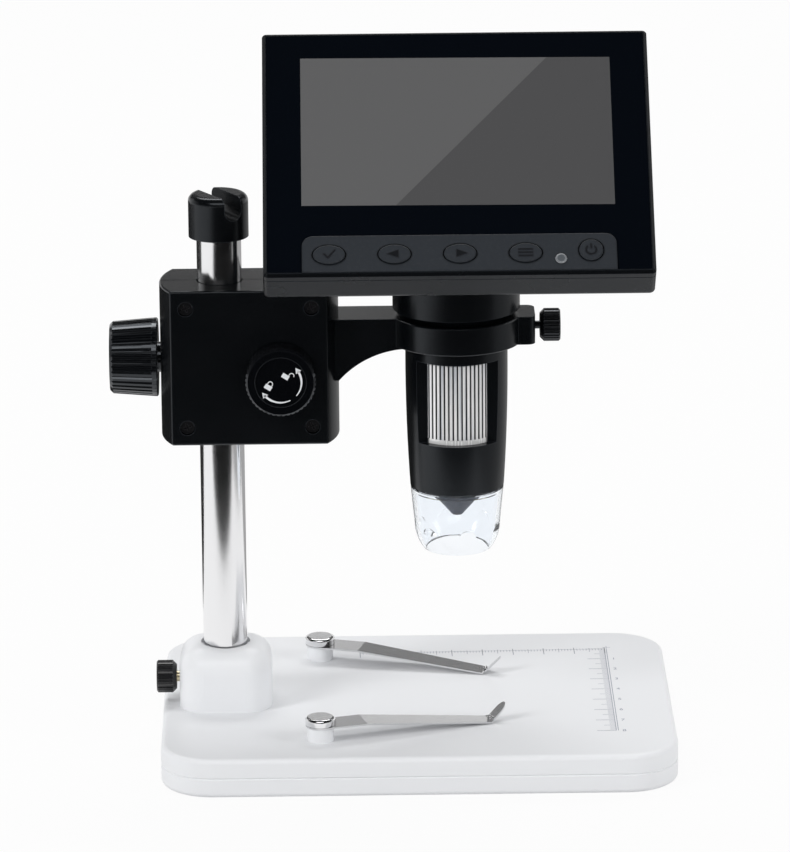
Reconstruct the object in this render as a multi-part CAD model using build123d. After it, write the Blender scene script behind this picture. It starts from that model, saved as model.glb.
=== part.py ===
from build123d import *
import math
import os

# A digital microscope with its own display, on a pole stand. Millimetres.
# +X right, +Y away from the user, +Z up. The origin is the centre of the base's underside.

os.makedirs("parts", exist_ok=True)

# ---------------------------------------------------------------- fits
run_gap = 0.05            # radial gap of a shaft or a slide in its bore
face_gap = 0.10           # gap between flat faces that turn or slide on each other
body_gap = 0.30           # gap between neighbouring bodies that never touch

# ---------------------------------------------------------------- screw recesses
recess_reach = 0.62       # of the head's radius
recess_bar = 0.24         # of the head's radius
recess_depth = 0.7

# ---------------------------------------------------------------- base
base_width = 162.0
base_depth = 121.0
base_height = 12.6
base_corner_radius = 16.5
base_seam_height = 6.3    # where the upper and the lower shell meet
base_wall = 2.4
base_roof = 2.6           # thickness of the upper shell's plate
base_floor = 2.2          # thickness of the lower shell's plate
base_edge_radius = 1.6
base_seam_chamfer = 0.35
base_screw_inset = 15.0   # screw centres, from the outer edges
base_screw_radius = 1.5
base_screw_head_radius = 2.9
base_screw_head_height = 1.8     # depth of the heads' seats
base_screw_head_thickness = 1.4
base_post_radius = 4.0
pad_radius = 6.0
pad_thickness = 0.8
pad_inset = 30.0          # pad centres, from the left and right edges
ballast_length = 100.0
ballast_width = 92.0
ballast_thickness = 3.0
ballast_corner_radius = 4.0

# ---------------------------------------------------------------- pole and its boss
pole_inset = 20.0         # the pole's axis, from the base's left edge
pole_y = -2.5
pole_radius = 7.0
pole_wall = 1.4
pole_length = 169.0
boss_width = 29.4
boss_depth = 27.0
boss_corner_radius = 8.0
boss_height = 19.8        # above the base's top face
boss_edge_radius = 7.2
boss_mouth_gap = 0.8      # the socket's mouth is this much wider than the pole
boss_mouth_depth = 1.5
socket_wall = 3.5
pole_cap_radius = 9.4
pole_cap_height = 13.7
pole_cap_cover = 5.4      # how far the pole goes into its cap
pole_cap_edge_radius = 2.4
cap_slot_width = 6.0
cap_slot_depth = 7.2
cap_slot_angle = 32.0     # turned from the front towards the right

# ---------------------------------------------------------------- thumb screws
base_screw_axis_height = 8.0      # above the base's top face
thumb_head_radius = 5.2
thumb_head_length = 6.4
thumb_stand_off = 1.0             # bare shaft between head and boss
thumb_shaft_radius = 1.7
thumb_rib_count = 28
thumb_rib_depth = 0.3
thumb_edge_chamfer = 1.3
ring_thumb_shaft_radius = 1.25

# ---------------------------------------------------------------- stage clips
clip_post_reach = 30.0            # the posts, to the right of the pole
clip_post_inset = 20.8            # and from the base's front and back edges, seen from the pole
clip_post_radius = 4.2
clip_post_height = 4.6
clip_screw_radius = 1.5
clip_screw_depth = 4.0            # below the base's top face
clip_cap_radius = 4.75
clip_cap_height = 2.4
clip_cap_edge_radius = 0.9
clip_thickness = 0.5
clip_angle = 16.5                 # each clip turns in towards the middle
clip_flat_length = 14.0           # level stretch, from the post's axis
clip_reach = 55.8                 # from the post's axis to the kink
clip_stage_gap = 0.15             # under the kink
clip_tip_rise = 5.0
clip_tip_run = 5.0
clip_root_width = 9.4
clip_end_width = 6.6
clip_tongue_width = 4.6
clip_bend_radius = 1.2
clip_bump_radius = 0.85            # small bump in the bend at the tip

# ---------------------------------------------------------------- carriage block
block_shift = 9.1                 # the block's middle, to the right of the pole
block_headroom = 14.3             # free pole above the block at rest
block_width = 56.0
block_height = 50.0
block_depth = 28.4
block_flat_width = 48.8           # flat part of the front and back
block_wall = 2.2
block_edge_radius = 0.7
block_seam = 0.25                 # chamfer where the two shells meet
block_screw_spacing_x = 39.2
block_screw_spacing_z = 38.5
block_screw_radius = 1.4
block_screw_head_radius = 2.1
block_screw_head_height = 1.5
block_counterbore_radius = 2.35
block_counterbore_depth = 2.6
block_post_radius = 4.0
bush_wall = 1.8
bush_height = 8.0
bush_pad_wall = 2.5

# ---------------------------------------------------------------- focus drive and lock
drive_height = 22.5               # focus shaft and lock stud, above the block's bottom
shaft_radius = 1.5
roller_radius = 2.2
roller_length = 12.0
shaft_bush_wall = 1.2
shaft_bush_length = 5.0
shaft_block_half = 5.5
focus_knob_inner_radius = 12.5
focus_knob_outer_radius = 11.4
focus_knob_length = 15.2
focus_knob_rib_count = 40
focus_knob_rib_depth = 0.55
focus_knob_band = 1.8             # smooth band at the knob's inner end
focus_knob_hub_radius = 4.8
focus_knob_hub_length = 1.0
lock_x = 9.8                      # from the block's middle
lock_knob_radius = 11.0
lock_knob_length = 7.6
lock_knob_rib_count = 44
lock_knob_rib_depth = 0.45
lock_face_radius = 8.0
lock_face_recess = 0.3
lock_stand_off = 0.4
lock_stud_radius = 2.0
lock_insert_wall = 1.3
lock_insert_length = 5.0
brake_pad_radius = 2.5
brake_pad_length = 3.6
stud_block_half = 5.0

# ---------------------------------------------------------------- arm and clamp ring
arm_drop = 11.3                   # the arm's top face, below the block's
arm_width = 16.0
arm_root_height = 19.8            # where the arm leaves the block
arm_tip_height = 9.7              # where its underside gets level
arm_tip_run = 14.6                # and how far that is from the tube's axis
arm_root_thickness = 5.0
arm_root_rise = 1.0               # the foot held inside the block reaches above the arm
arm_root_drop = 7.0               # and below it
ring_height = 9.0
ring_outer_radius = 20.6
lug_reach = 24.6                  # from the tube's axis
lug_width = 14.4
lug_corner_radius = 2.5
ring_edge_radius = 0.5

# ---------------------------------------------------------------- tube
tube_reach = 74.1                 # the tube's axis, to the right of the pole
tube_neck_radius = 16.1
tube_top_cover = 8.0              # how far the tube goes up into the neck
tube_flange_radius = 17.6
tube_flange_height = 2.0
tube_skirt = 16.8                 # the tube below its windows
tube_bottom_radius = 14.8
tube_taper_drop = 1.0             # the taper starts below the windows' tops
tube_bulge = 0.35                 # how far the taper bows outwards at its middle
tube_wall = 2.2
tube_edge_radius = 0.7
window_drop = 4.2                 # the windows' tops, below the clamp ring
window_height = 26.7
window_flat = 9.75                # the windows' flats, from the tube's axis
focus_ring_radius = 13.4
focus_ring_foot = 1.1             # hidden below the windows
focus_ring_head = 1.6             # hidden above them
focus_ring_wall = 1.9
focus_ring_rib_count = 60
focus_ring_rib_depth = 0.35
focus_ring_rim = 2.6              # plain rim at each end
lens_carriage_length = 14.0
lens_carriage_rise = 7.4          # above the focusing ring's lower end
lens_bore_radius = 4.5
lens_radius = 6.0
lens_thickness = 2.4
sensor_board_thickness = 1.2
sensor_size = 7.0
sensor_thickness = 1.2
led_board_gap = 0.5               # above the clear cap's spigot
led_board_thickness = 1.2
led_board_bore_radius = 5.0
led_count = 8
led_circle_radius = 8.6
led_radius = 1.5
led_length = 3.4
hood_top_radius = 7.2
hood_tip_radius = 1.7
hood_tip_rise = 10.8              # above the clear cap's mouth
hood_cone_height = 6.4
hood_rim_height = 1.4
hood_wall = 1.0

# ---------------------------------------------------------------- clear cap
clear_cap_length = 20.3           # below the tube
clear_cap_wall = 1.3
clear_cap_mouth_radius = 10.6
clear_cap_shoulder_radius = 13.5
clear_cap_shoulder_height = 8.2   # above the cap's mouth
clear_cap_bulge = 1.1             # the arc's middle, inside the shoulder
clear_cap_bulge_height = 3.0
clear_cap_spigot_length = 4.0     # inside the tube
clear_cap_arch_count = 6
clear_cap_arch_width = 5.4
clear_cap_arch_height = 8.6
clear_cap_arch_depth = 0.5

# ---------------------------------------------------------------- display head
display_tilt = 44.0               # the face's rise from the horizontal
display_shift = 17.5              # the window's middle, in front of the tube's axis
display_rise = 62.6               # and above the arm
display_chin = 18.0               # from the screen panel's lower edge to the display's
display_brow = 3.0                # from its upper edge to the display's
display_corner_radius = 1.4
display_edge_depth = 14.2         # thickness at the edges
bezel_depth = 2.9
bezel_rim = 1.2
bezel_ledge = 1.3                 # depth of the glass's seat
bezel_chamfer = 0.9
bezel_groove = 0.35
bezel_post_rise = 1.5             # screw posts, behind the bezel
housing_wall = 2.0
housing_edge_radius = 2.6
hump_width = 92.0
hump_length = 66.0
hump_height = 8.0
hump_corner_radius = 8.0
hump_taper = 18.0
hump_offset = 0.5                 # hump's middle, from the window's middle
glass_gap = 0.12
lcd_width = 105.5
lcd_height = 67.2
lcd_thickness = 2.9
button_panel_width = 96.0
button_panel_height = 12.8
button_panel_corner_radius = 3.6
button_panel_rise = 0.35
button_row = -44.4                # height of the oval buttons on the face
button_first = -39.7
button_pitch = 19.95
button_half_width = 4.95
button_half_height = 3.3
button_gap = 0.3
button_rise = 0.3
button_flange = 0.7
button_flange_thickness = 0.7
button_travel = 0.5
button_stem_radius = 1.4
power_button_x = 40.1
power_button_row = -43.7
power_button_radius = 3.7
indicator_x = 30.9
indicator_row = -46.5
indicator_radius = 1.75
button_board_depth = 5.6
button_board_height = 9.0
board_post_x = 48.4
board_post_radius = 1.5
switch_size = 5.0
switch_height = 1.0
switch_clearance = 0.1            # left under a pressed button
board_thickness = 1.2
main_board_gap = 1.8              # to the housing's side walls
main_board_height = 50.0
main_board_depth = 8.2            # its front, behind the face
battery_width = 26.0
battery_length = 48.0
battery_thickness = 6.0
housing_screw_inset = 4.5
housing_screw_radius = 0.9
housing_screw_head_radius = 1.65
housing_screw_head_height = 1.3
housing_post_radius = 2.2
housing_post_gap = 0.35           # between the screw posts and the screen panel
usb_width = 8.0
usb_height = 4.0
usb_length = 7.0
usb_row = 12.0
card_width = 13.0
card_height = 2.0
card_length = 14.0
card_row = -8.0
port_gap = 0.1
usb_shell = 1.1                   # both walls of the socket's shell and their gap
card_shell = 0.9
ribbon_width = 8.0
ribbon_thickness = 0.3

# ---------------------------------------------------------------- neck
neck_radius = 20.0
neck_wall = 2.2
neck_floor = 2.4
neck_chamfer = 1.8

# ================================================================ derived places
base_top = base_height
boss_top = base_top + boss_height
pole_x = pole_inset - base_width / 2
pole_bottom = base_floor
pole_top = pole_bottom + pole_length
cap_bottom = pole_top - pole_cap_cover
cap_top = cap_bottom + pole_cap_height
clip_post_x = pole_x + clip_post_reach
clip_post_spread = base_depth / 2 - clip_post_inset

block_x = pole_x + block_shift
block_top = cap_bottom - block_headroom
block_bottom = block_top - block_height
block_left = block_x - block_width / 2
block_right = block_x + block_width / 2
block_front = pole_y - block_depth / 2
block_back = pole_y + block_depth / 2
drive_z = block_bottom + drive_height
shaft_y = pole_y + pole_radius + face_gap + roller_radius
lock_axis_x = block_x + lock_x

arm_top = block_top - arm_drop
tube_x = pole_x + tube_reach
ring_bottom = arm_top - ring_height
ring_middle = arm_top - ring_height / 2
ring_bore_radius = tube_neck_radius + run_gap
neck_bottom = arm_top + face_gap
window_top = ring_bottom - window_drop
window_bottom = window_top - window_height
tube_bottom = window_bottom - tube_skirt
tube_taper_top = window_top - tube_taper_drop
tube_bore_radius = tube_neck_radius - tube_wall
focus_ring_bottom = window_bottom - focus_ring_foot
focus_ring_top = window_top + focus_ring_head
ring_pocket_radius = focus_ring_radius + run_gap
ring_pocket_top = focus_ring_top + face_gap
lens_carriage_bottom = focus_ring_bottom + lens_carriage_rise
sensor_board_z = ring_pocket_top + tube_wall
clear_cap_bottom = tube_bottom - clear_cap_length
led_board_z = tube_bottom + clear_cap_spigot_length + led_board_gap
hood_tip_z = clear_cap_bottom + hood_tip_rise

display_y = pole_y - display_shift
display_z = arm_top + display_rise
display_side = housing_screw_inset + housing_post_radius + housing_post_gap
display_width = lcd_width + 2 * display_side
display_below = lcd_height / 2 + display_chin
display_above = lcd_height / 2 + display_brow
main_board_width = display_width - 2 * (housing_wall + main_board_gap)
nodes = {}


# ================================================================ helpers
def disc(radius, low, high, x=0.0, y=0.0):
    """Upright cylinder between two heights."""
    return Pos(x, y, (low + high) / 2) * Cylinder(radius, high - low)


def rod_x(radius, start, end, y, z):
    """Cylinder along X."""
    return Pos((start + end) / 2, y, z) * Rot(0, 90, 0) * Cylinder(radius, end - start)


def rod_y(radius, start, end, x, z):
    """Cylinder along Y."""
    return Pos(x, (start + end) / 2, z) * Rot(90, 0, 0) * Cylinder(radius, end - start)


def box_between(low, high):
    """Box between two opposite corners."""
    size = [b - a for a, b in zip(low, high)]
    middle = [(a + b) / 2 for a, b in zip(low, high)]
    return Pos(*middle) * Box(*size)


def slab(sketch, low, high):
    """A sketch on the XY plane, raised between two heights."""
    return extrude(Pos(0, 0, low) * sketch, high - low)


def rounded_plate(width, depth, radius, low, high):
    """Upright plate with round corners."""
    return slab(RectangleRounded(width, depth, radius), low, high)


def ribbed_face(radius, depth, count):
    """Circle cut by evenly spaced V-bottomed flutes."""
    points = []
    step = 2 * math.pi / count
    for i in range(count):
        for share, reach in ((0.0, radius - depth), (0.28, radius), (0.72, radius)):
            angle = (i + share) * step
            points.append((reach * math.cos(angle), reach * math.sin(angle)))
    return make_face(Polyline(*points, close=True))


def turned(points):
    """Solid of revolution about Z from (radius, height) points."""
    outline = Polyline(*[(r, 0, z) for r, z in points], close=True)
    return revolve(make_face(outline), Axis.Z)


def cross_recess(radius, depth):
    """Cross slot for a screwdriver, cut down from height 0."""
    bar = Pos(0, 0, -depth / 2) * Box(2 * radius * recess_reach, radius * recess_bar, depth)
    return bar + Rot(0, 0, 90) * bar


def edges_at(solid, height, tolerance=1e-3):
    """Level edges that lie at one height."""
    found = solid.edges().filter_by_position(Axis.Z, height - tolerance, height + tolerance)
    return found


# ================================================================ base
def base_corners(inset):
    """Four places, one near each corner of the base."""
    half_x = base_width / 2 - inset
    half_y = base_depth / 2 - inset
    return [(sx * half_x, sy * half_y) for sx in (-1, 1) for sy in (-1, 1)]


def clip_posts():
    """Where the two clip posts stand, with the turn of each clip."""
    return [(clip_post_x, pole_y + side * clip_post_spread, -side * clip_angle) for side in (1, -1)]


def make_base():
    inner_radius = base_corner_radius - base_wall
    inner_width = base_width - 2 * base_wall
    inner_depth = base_depth - 2 * base_wall

    upper = rounded_plate(base_width, base_depth, base_corner_radius, base_seam_height, base_top)
    upper = fillet(edges_at(upper, base_top), base_edge_radius)
    upper = chamfer(edges_at(upper, base_seam_height), base_seam_chamfer)
    roof_under = base_top - base_roof
    upper -= rounded_plate(inner_width, inner_depth, inner_radius, base_seam_height - 1, roof_under)
    boss = rounded_plate(boss_width, boss_depth, boss_corner_radius, roof_under, boss_top)
    boss = fillet(edges_at(boss, boss_top), boss_edge_radius)
    upper += Pos(pole_x, pole_y) * boss
    socket_radius = pole_radius + run_gap
    upper += disc(socket_radius + socket_wall, base_floor, roof_under + 1, pole_x, pole_y)
    for x, y in base_corners(base_screw_inset):
        upper += disc(base_post_radius, base_floor + face_gap, roof_under + 1, x, y)
        upper -= disc(base_screw_radius, base_floor - 1, roof_under, x, y)
    for x, y, _ in clip_posts():
        upper += disc(clip_post_radius, base_top - clip_screw_depth - 1, roof_under + 1, x, y)
        upper -= disc(clip_screw_radius, base_top - clip_screw_depth, base_top + 1, x, y)
    upper -= disc(socket_radius, base_floor - 1, boss_top + 1, pole_x, pole_y)
    mouth_low = boss_top - boss_mouth_depth
    upper -= disc(pole_radius + boss_mouth_gap, mouth_low, boss_top + 1, pole_x, pole_y)
    upper -= rod_x(thumb_shaft_radius + run_gap, pole_x - boss_width, pole_x, pole_y, thumb_axis_z())
    nodes["base_upper_shell"] = upper

    lower = rounded_plate(base_width, base_depth, base_corner_radius, 0, base_seam_height)
    lower = fillet(edges_at(lower, 0), base_edge_radius)
    lower = chamfer(edges_at(lower, base_seam_height), base_seam_chamfer)
    lower -= rounded_plate(inner_width, inner_depth, inner_radius, base_floor, base_seam_height + 1)
    for x, y in base_corners(base_screw_inset):
        lower -= disc(base_screw_radius + run_gap, -1, base_floor + 1, x, y)
        lower -= disc(base_screw_head_radius + run_gap, -1, base_screw_head_height, x, y)
    pad_places = [(x, y) for x in (-1, 1) for y in (-1, 1)]
    pad_places = [(x * (base_width / 2 - pad_inset), y * (base_depth / 2 - base_screw_inset))
                  for x, y in pad_places]
    for x, y in pad_places:
        lower -= disc(pad_radius + run_gap, -1, pad_thickness, x, y)
    nodes["base_lower_shell"] = lower

    nodes["base_pads"] = Compound([disc(pad_radius, 0, pad_thickness, x, y) for x, y in pad_places])
    screws = []
    for x, y in base_corners(base_screw_inset):
        head_low = base_screw_head_height - base_screw_head_thickness
        head = disc(base_screw_head_radius, head_low, base_screw_head_height, x, y)
        head -= Pos(x, y, head_low) * Rot(180, 0, 0) * cross_recess(base_screw_head_radius, recess_depth)
        screws.append(head + disc(base_screw_radius, base_screw_head_height - 0.5, roof_under - 0.5, x, y))
    nodes["base_screws"] = Compound(screws)

    plate_left = pole_x + socket_radius + socket_wall + body_gap
    plate_x = plate_left + ballast_length / 2
    ballast = rounded_plate(ballast_length, ballast_width, ballast_corner_radius,
                            base_floor, base_floor + ballast_thickness)
    nodes["ballast_plate"] = Pos(plate_x, pole_y) * ballast


def thumb_axis_z():
    """Height of the base thumb screw's axis."""
    return base_top + base_screw_axis_height


def thumb_screw(shaft_radius_here, shaft_length):
    """Thumb screw along +Z: the shaft's tip at 0, the head beyond the shaft."""
    head_face = ribbed_face(thumb_head_radius, thumb_rib_depth, thumb_rib_count)
    head = slab(head_face, shaft_length, shaft_length + thumb_head_length)
    top = shaft_length + thumb_head_length
    small = 0.5
    envelope = turned([(0, shaft_length), (thumb_head_radius - thumb_edge_chamfer, shaft_length),
                       (thumb_head_radius + 0.01, shaft_length + thumb_edge_chamfer),
                       (thumb_head_radius + 0.01, top - small),
                       (thumb_head_radius - small, top), (0, top)])
    return (head & envelope) + disc(shaft_radius_here, 0, shaft_length + 1)


def make_base_thumb_screw():
    tip = pole_x - pole_radius - face_gap
    head_at = pole_x - boss_width / 2 - thumb_stand_off
    screw = thumb_screw(thumb_shaft_radius, tip - head_at)
    nodes["base_thumb_screw"] = Pos(tip, pole_y, thumb_axis_z()) * Rot(0, -90, 0) * screw


def make_pole():
    tube = disc(pole_radius, pole_bottom, pole_top, pole_x, pole_y)
    tube -= disc(pole_radius - pole_wall, pole_bottom - 1, pole_top + 1, pole_x, pole_y)
    nodes["pole"] = tube

    cap = disc(pole_cap_radius, cap_bottom, cap_top)
    cap = fillet(edges_at(cap, cap_top), pole_cap_edge_radius)
    cap -= disc(pole_radius, cap_bottom - 1, pole_top)
    slot_low = cap_top - cap_slot_depth
    slot_round = cap_slot_width / 2
    slot = box_between((-slot_round, -2 * pole_cap_radius, slot_low + slot_round),
                       (slot_round, 2 * pole_cap_radius, cap_top + 1))
    slot += rod_y(slot_round, -2 * pole_cap_radius, 2 * pole_cap_radius, 0, slot_low + slot_round)
    cap -= Rot(0, 0, cap_slot_angle) * slot
    nodes["pole_cap"] = Pos(pole_x, pole_y) * cap


# ================================================================ stage clips
def make_clips():
    drop = clip_post_height + face_gap - clip_stage_gap
    half = clip_thickness / 2
    side = [(-clip_root_width, half), (clip_flat_length, half), (clip_reach, half - drop),
            (clip_reach + clip_tip_run, half - drop + clip_tip_rise)]
    centre_line = FilletPolyline(*side, radius=clip_bend_radius)
    section = Plane.XZ * make_face(offset(centre_line, half, side=Side.BOTH).wires()[0])
    strip = extrude(section, clip_root_width, both=True)
    end = clip_reach + clip_tip_run
    half_root = clip_root_width / 2
    half_end = clip_end_width / 2
    half_tongue = clip_tongue_width / 2
    kink = clip_reach
    plan = make_face(Polyline((0, half_root), (clip_flat_length, half_root), (kink, half_end),
                              (kink + 0.4, half_tongue), (end - half_tongue, half_tongue),
                              (end - half_tongue, -half_tongue), (kink + 0.4, -half_tongue),
                              (kink, -half_end), (clip_flat_length, -half_root),
                              (0, -half_root), close=True))
    plan += Circle(half_root) + Pos(end - half_tongue, 0) * Circle(half_tongue)
    strip &= extrude(plan, 4 * clip_tip_rise, both=True)
    strip -= disc(clip_screw_radius + run_gap, -1, 1 + clip_thickness)
    strip += Pos(clip_reach, 0, half - drop + clip_bump_radius) * Sphere(clip_bump_radius)
    under = base_top + clip_post_height + face_gap
    names = ("clip_rear", "clip_front")
    posts = []
    caps = []
    for name, (x, y, turn) in zip(names, clip_posts()):
        nodes[name] = Pos(x, y, under) * Rot(0, 0, turn) * strip
        post = disc(clip_post_radius, base_top, base_top + clip_post_height)
        post -= disc(clip_screw_radius, base_top - 1, base_top + clip_post_height + 1)
        posts.append(Pos(x, y) * post)
        cap_low = under + clip_thickness + face_gap
        cap = disc(clip_cap_radius, cap_low, cap_low + clip_cap_height)
        cap = fillet(edges_at(cap, cap_low + clip_cap_height), clip_cap_edge_radius)
        cap += disc(clip_screw_radius, base_top - clip_screw_depth, cap_low + 0.5)
        caps.append(Pos(x, y) * cap)
    nodes["clip_posts"] = Compound(posts)
    nodes["clip_screws"] = Compound(caps)


# ================================================================ carriage block
def block_outline(inset):
    """Plan of the block about its middle: flat front and back, bowed sides."""
    half_flat = block_flat_width / 2 - inset
    half_width = block_width / 2 - inset
    half_depth = block_depth / 2 - inset
    front = Line((-half_flat, -half_depth), (half_flat, -half_depth))
    right = ThreePointArc((half_flat, -half_depth), (half_width, 0), (half_flat, half_depth))
    back = Line((half_flat, half_depth), (-half_flat, half_depth))
    left = ThreePointArc((-half_flat, half_depth), (-half_width, 0), (-half_flat, -half_depth))
    return make_face(Curve() + [front, right, back, left])


def block_screw_places():
    """Block screws, as (x, z) in the object's frame."""
    middle = block_bottom + block_height / 2
    return [(block_x + sx * block_screw_spacing_x / 2, middle + sz * block_screw_spacing_z / 2)
            for sx in (-1, 1) for sz in (-1, 1)]


def arm_side():
    """Side view of the arm from inside the block to the ring."""
    start = block_right - block_wall - arm_root_thickness
    end = tube_x - arm_tip_run
    low = arm_top - arm_root_height
    corner = block_right
    run = end - corner
    rise = arm_root_height - arm_tip_height
    arc_radius = (run ** 2 + rise ** 2) / (2 * rise)
    tip_z = arm_top - arm_tip_height
    middle_x = corner + run / 2
    middle_z = tip_z - arc_radius + math.sqrt(arc_radius ** 2 - (run / 2) ** 2)
    lines = Curve() + [
        Line((start, arm_top), (end, arm_top)),
        Line((end, arm_top), (end, tip_z)),
        ThreePointArc((end, tip_z), (middle_x, middle_z), (corner, low)),
        Line((corner, low), (start, low)),
        Line((start, low), (start, arm_top)),
    ]
    return Plane.XZ * make_face(lines)


def make_block():
    whole = Pos(block_x, pole_y) * slab(block_outline(0), block_bottom, block_top)
    whole = fillet(whole.edges(), block_edge_radius)
    hollow_low = block_bottom + block_wall
    hollow_high = block_top - block_wall
    hollow = Pos(block_x, pole_y) * slab(block_outline(block_wall), hollow_low, hollow_high)

    # what stands inside: pads round the bushes, screw posts, blocks for the shaft and the stud
    pad_half = pole_radius + run_gap + bush_wall + bush_pad_wall
    inside = Pos(0, 0, 0) * box_between(
        (pole_x - pad_half, block_front, hollow_low - 1),
        (pole_x + pad_half, block_back, hollow_low + bush_height))
    inside += box_between((pole_x - pad_half, block_front, hollow_high - bush_height),
                          (pole_x + pad_half, block_back, hollow_high + 1))
    for x, z in block_screw_places():
        inside += rod_y(block_post_radius, block_front + 1, block_back - 1, x, z)
    bush_outer = shaft_radius + run_gap + shaft_bush_wall
    wall_block_end = block_left + block_wall + shaft_bush_length + 1
    inside += box_between((block_left + 1, pole_y, drive_z - shaft_block_half),
                          (wall_block_end, block_back - 1, drive_z + shaft_block_half))
    inside += box_between((lock_axis_x - shaft_block_half, pole_y, drive_z - shaft_block_half),
                          (lock_axis_x + shaft_block_half, block_back - 1, drive_z + shaft_block_half))
    inside += box_between((lock_axis_x - stud_block_half, block_front + 1, drive_z - stud_block_half),
                          (lock_axis_x + stud_block_half, pole_y - body_gap, drive_z + stud_block_half))
    inside &= whole

    shells = (whole - hollow) + inside
    shells -= disc(pole_radius + body_gap, block_bottom - 1, block_top + 1, pole_x, pole_y)
    bush_radius = pole_radius + run_gap + bush_wall
    shells -= disc(bush_radius, hollow_low, hollow_low + bush_height, pole_x, pole_y)
    shells -= disc(bush_radius, hollow_high - bush_height, hollow_high, pole_x, pole_y)
    for x, z in block_screw_places():
        shells -= rod_y(block_screw_radius, block_front - 1, block_back - block_wall, x, z)
        counterbore_end = block_front + block_counterbore_depth
        shells -= rod_y(block_counterbore_radius, block_front - 1, counterbore_end, x, z)
    shaft_right = lock_axis_x + shaft_block_half
    shells -= rod_x(shaft_radius + run_gap, block_left - 1, shaft_right + 1, shaft_y, drive_z)
    shells -= rod_x(bush_outer, block_left - 1, wall_block_end + 1, shaft_y, drive_z)
    shells -= rod_y(brake_pad_radius + run_gap, pole_y - 1, shaft_y, lock_axis_x, drive_z)
    shells -= rod_y(lock_stud_radius + run_gap, block_front - 1, shaft_y, lock_axis_x, drive_z)
    insert_radius = lock_stud_radius + run_gap + lock_insert_wall
    insert_start = block_front + block_wall
    shells -= rod_y(insert_radius, insert_start, pole_y, lock_axis_x, drive_z)
    shells -= Pos(0, pole_y, 0) * extrude(arm_side(), arm_width / 2, both=True)
    seam = block_seam * math.sqrt(2)
    block_middle = (block_bottom + block_top) / 2
    for x in (block_left, block_right):
        shells -= Pos(x, pole_y, block_middle) * Rot(0, 0, 45) * Box(seam, seam, block_height + 2)
    for z in (block_bottom, block_top):
        shells -= Pos(block_x, pole_y, z) * Rot(45, 0, 0) * Box(block_width + 2, seam, seam)

    front_half = box_between((block_left - 5, block_front - 5, block_bottom - 5),
                             (block_right + 5, pole_y, block_top + 5))
    nodes["block_front_shell"] = shells & front_half
    nodes["block_rear_shell"] = shells - front_half

    screws = []
    seat = block_front + block_counterbore_depth
    for x, z in block_screw_places():
        head = rod_y(block_screw_head_radius, seat - block_screw_head_height, seat, x, z)
        head_face = Pos(x, seat - block_screw_head_height, z) * Rot(90, 0, 0)
        head -= head_face * Rot(0, 0, 20) * cross_recess(block_screw_head_radius, recess_depth)
        screws.append(head + rod_y(block_screw_radius, seat - 0.1, block_back - block_wall - 0.5, x, z))
    nodes["block_screws"] = Compound(screws)

    bush = disc(bush_radius, 0, bush_height) - disc(pole_radius + run_gap, -1, bush_height + 1)
    nodes["pole_bushes"] = Compound([Pos(pole_x, pole_y, hollow_low) * bush,
                                     Pos(pole_x, pole_y, hollow_high - bush_height) * bush])


def make_focus_drive():
    knob_inner = block_left - focus_knob_hub_length
    wall_block_end = block_left + block_wall + shaft_bush_length + 1
    bush_start = wall_block_end - shaft_bush_length
    bush = rod_x(shaft_radius + run_gap + shaft_bush_wall, bush_start, wall_block_end, shaft_y, drive_z)
    bush -= rod_x(shaft_radius + run_gap, bush_start - 1, wall_block_end + 1, shaft_y, drive_z)
    nodes["shaft_bush"] = bush

    knob_outer = knob_inner - focus_knob_length
    shaft_end = lock_axis_x + shaft_block_half
    shaft_start = knob_outer + 3
    nodes["focus_shaft"] = rod_x(shaft_radius, shaft_start, shaft_end, shaft_y, drive_z)
    roller = rod_x(roller_radius, pole_x - roller_length / 2, pole_x + roller_length / 2, shaft_y, drive_z)
    roller -= rod_x(shaft_radius, pole_x - roller_length, pole_x + roller_length, shaft_y, drive_z)
    nodes["focus_roller"] = roller

    # knob modelled along +Z with its inner face at 0, then turned to point along -X
    inner = ribbed_face(focus_knob_inner_radius, focus_knob_rib_depth, focus_knob_rib_count)
    outer = ribbed_face(focus_knob_outer_radius, focus_knob_rib_depth, focus_knob_rib_count)
    ribbed = loft([inner, Pos(0, 0, focus_knob_length) * outer], ruled=True)
    edge = 1.0
    envelope = turned([(0, 0), (focus_knob_inner_radius - 0.4, 0), (focus_knob_inner_radius, 0.4),
                       (focus_knob_outer_radius, focus_knob_length - edge),
                       (focus_knob_outer_radius - edge, focus_knob_length), (0, focus_knob_length)])
    knob = ribbed & envelope
    band_radius = focus_knob_inner_radius - 0.15
    knob += turned([(0, 0), (band_radius - 0.4, 0), (band_radius, 0.4),
                    (band_radius, focus_knob_band), (0, focus_knob_band)])
    knob += disc(focus_knob_hub_radius, -(focus_knob_hub_length - face_gap), 1)
    knob -= disc(shaft_radius, -focus_knob_hub_length - 1, focus_knob_length - 3)
    recess_radius = focus_knob_outer_radius - 2.6
    knob -= disc(recess_radius, focus_knob_length - 0.5, focus_knob_length + 1)
    nodes["focus_knob"] = Pos(knob_inner, shaft_y, drive_z) * Rot(0, -90, 0) * knob


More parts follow.
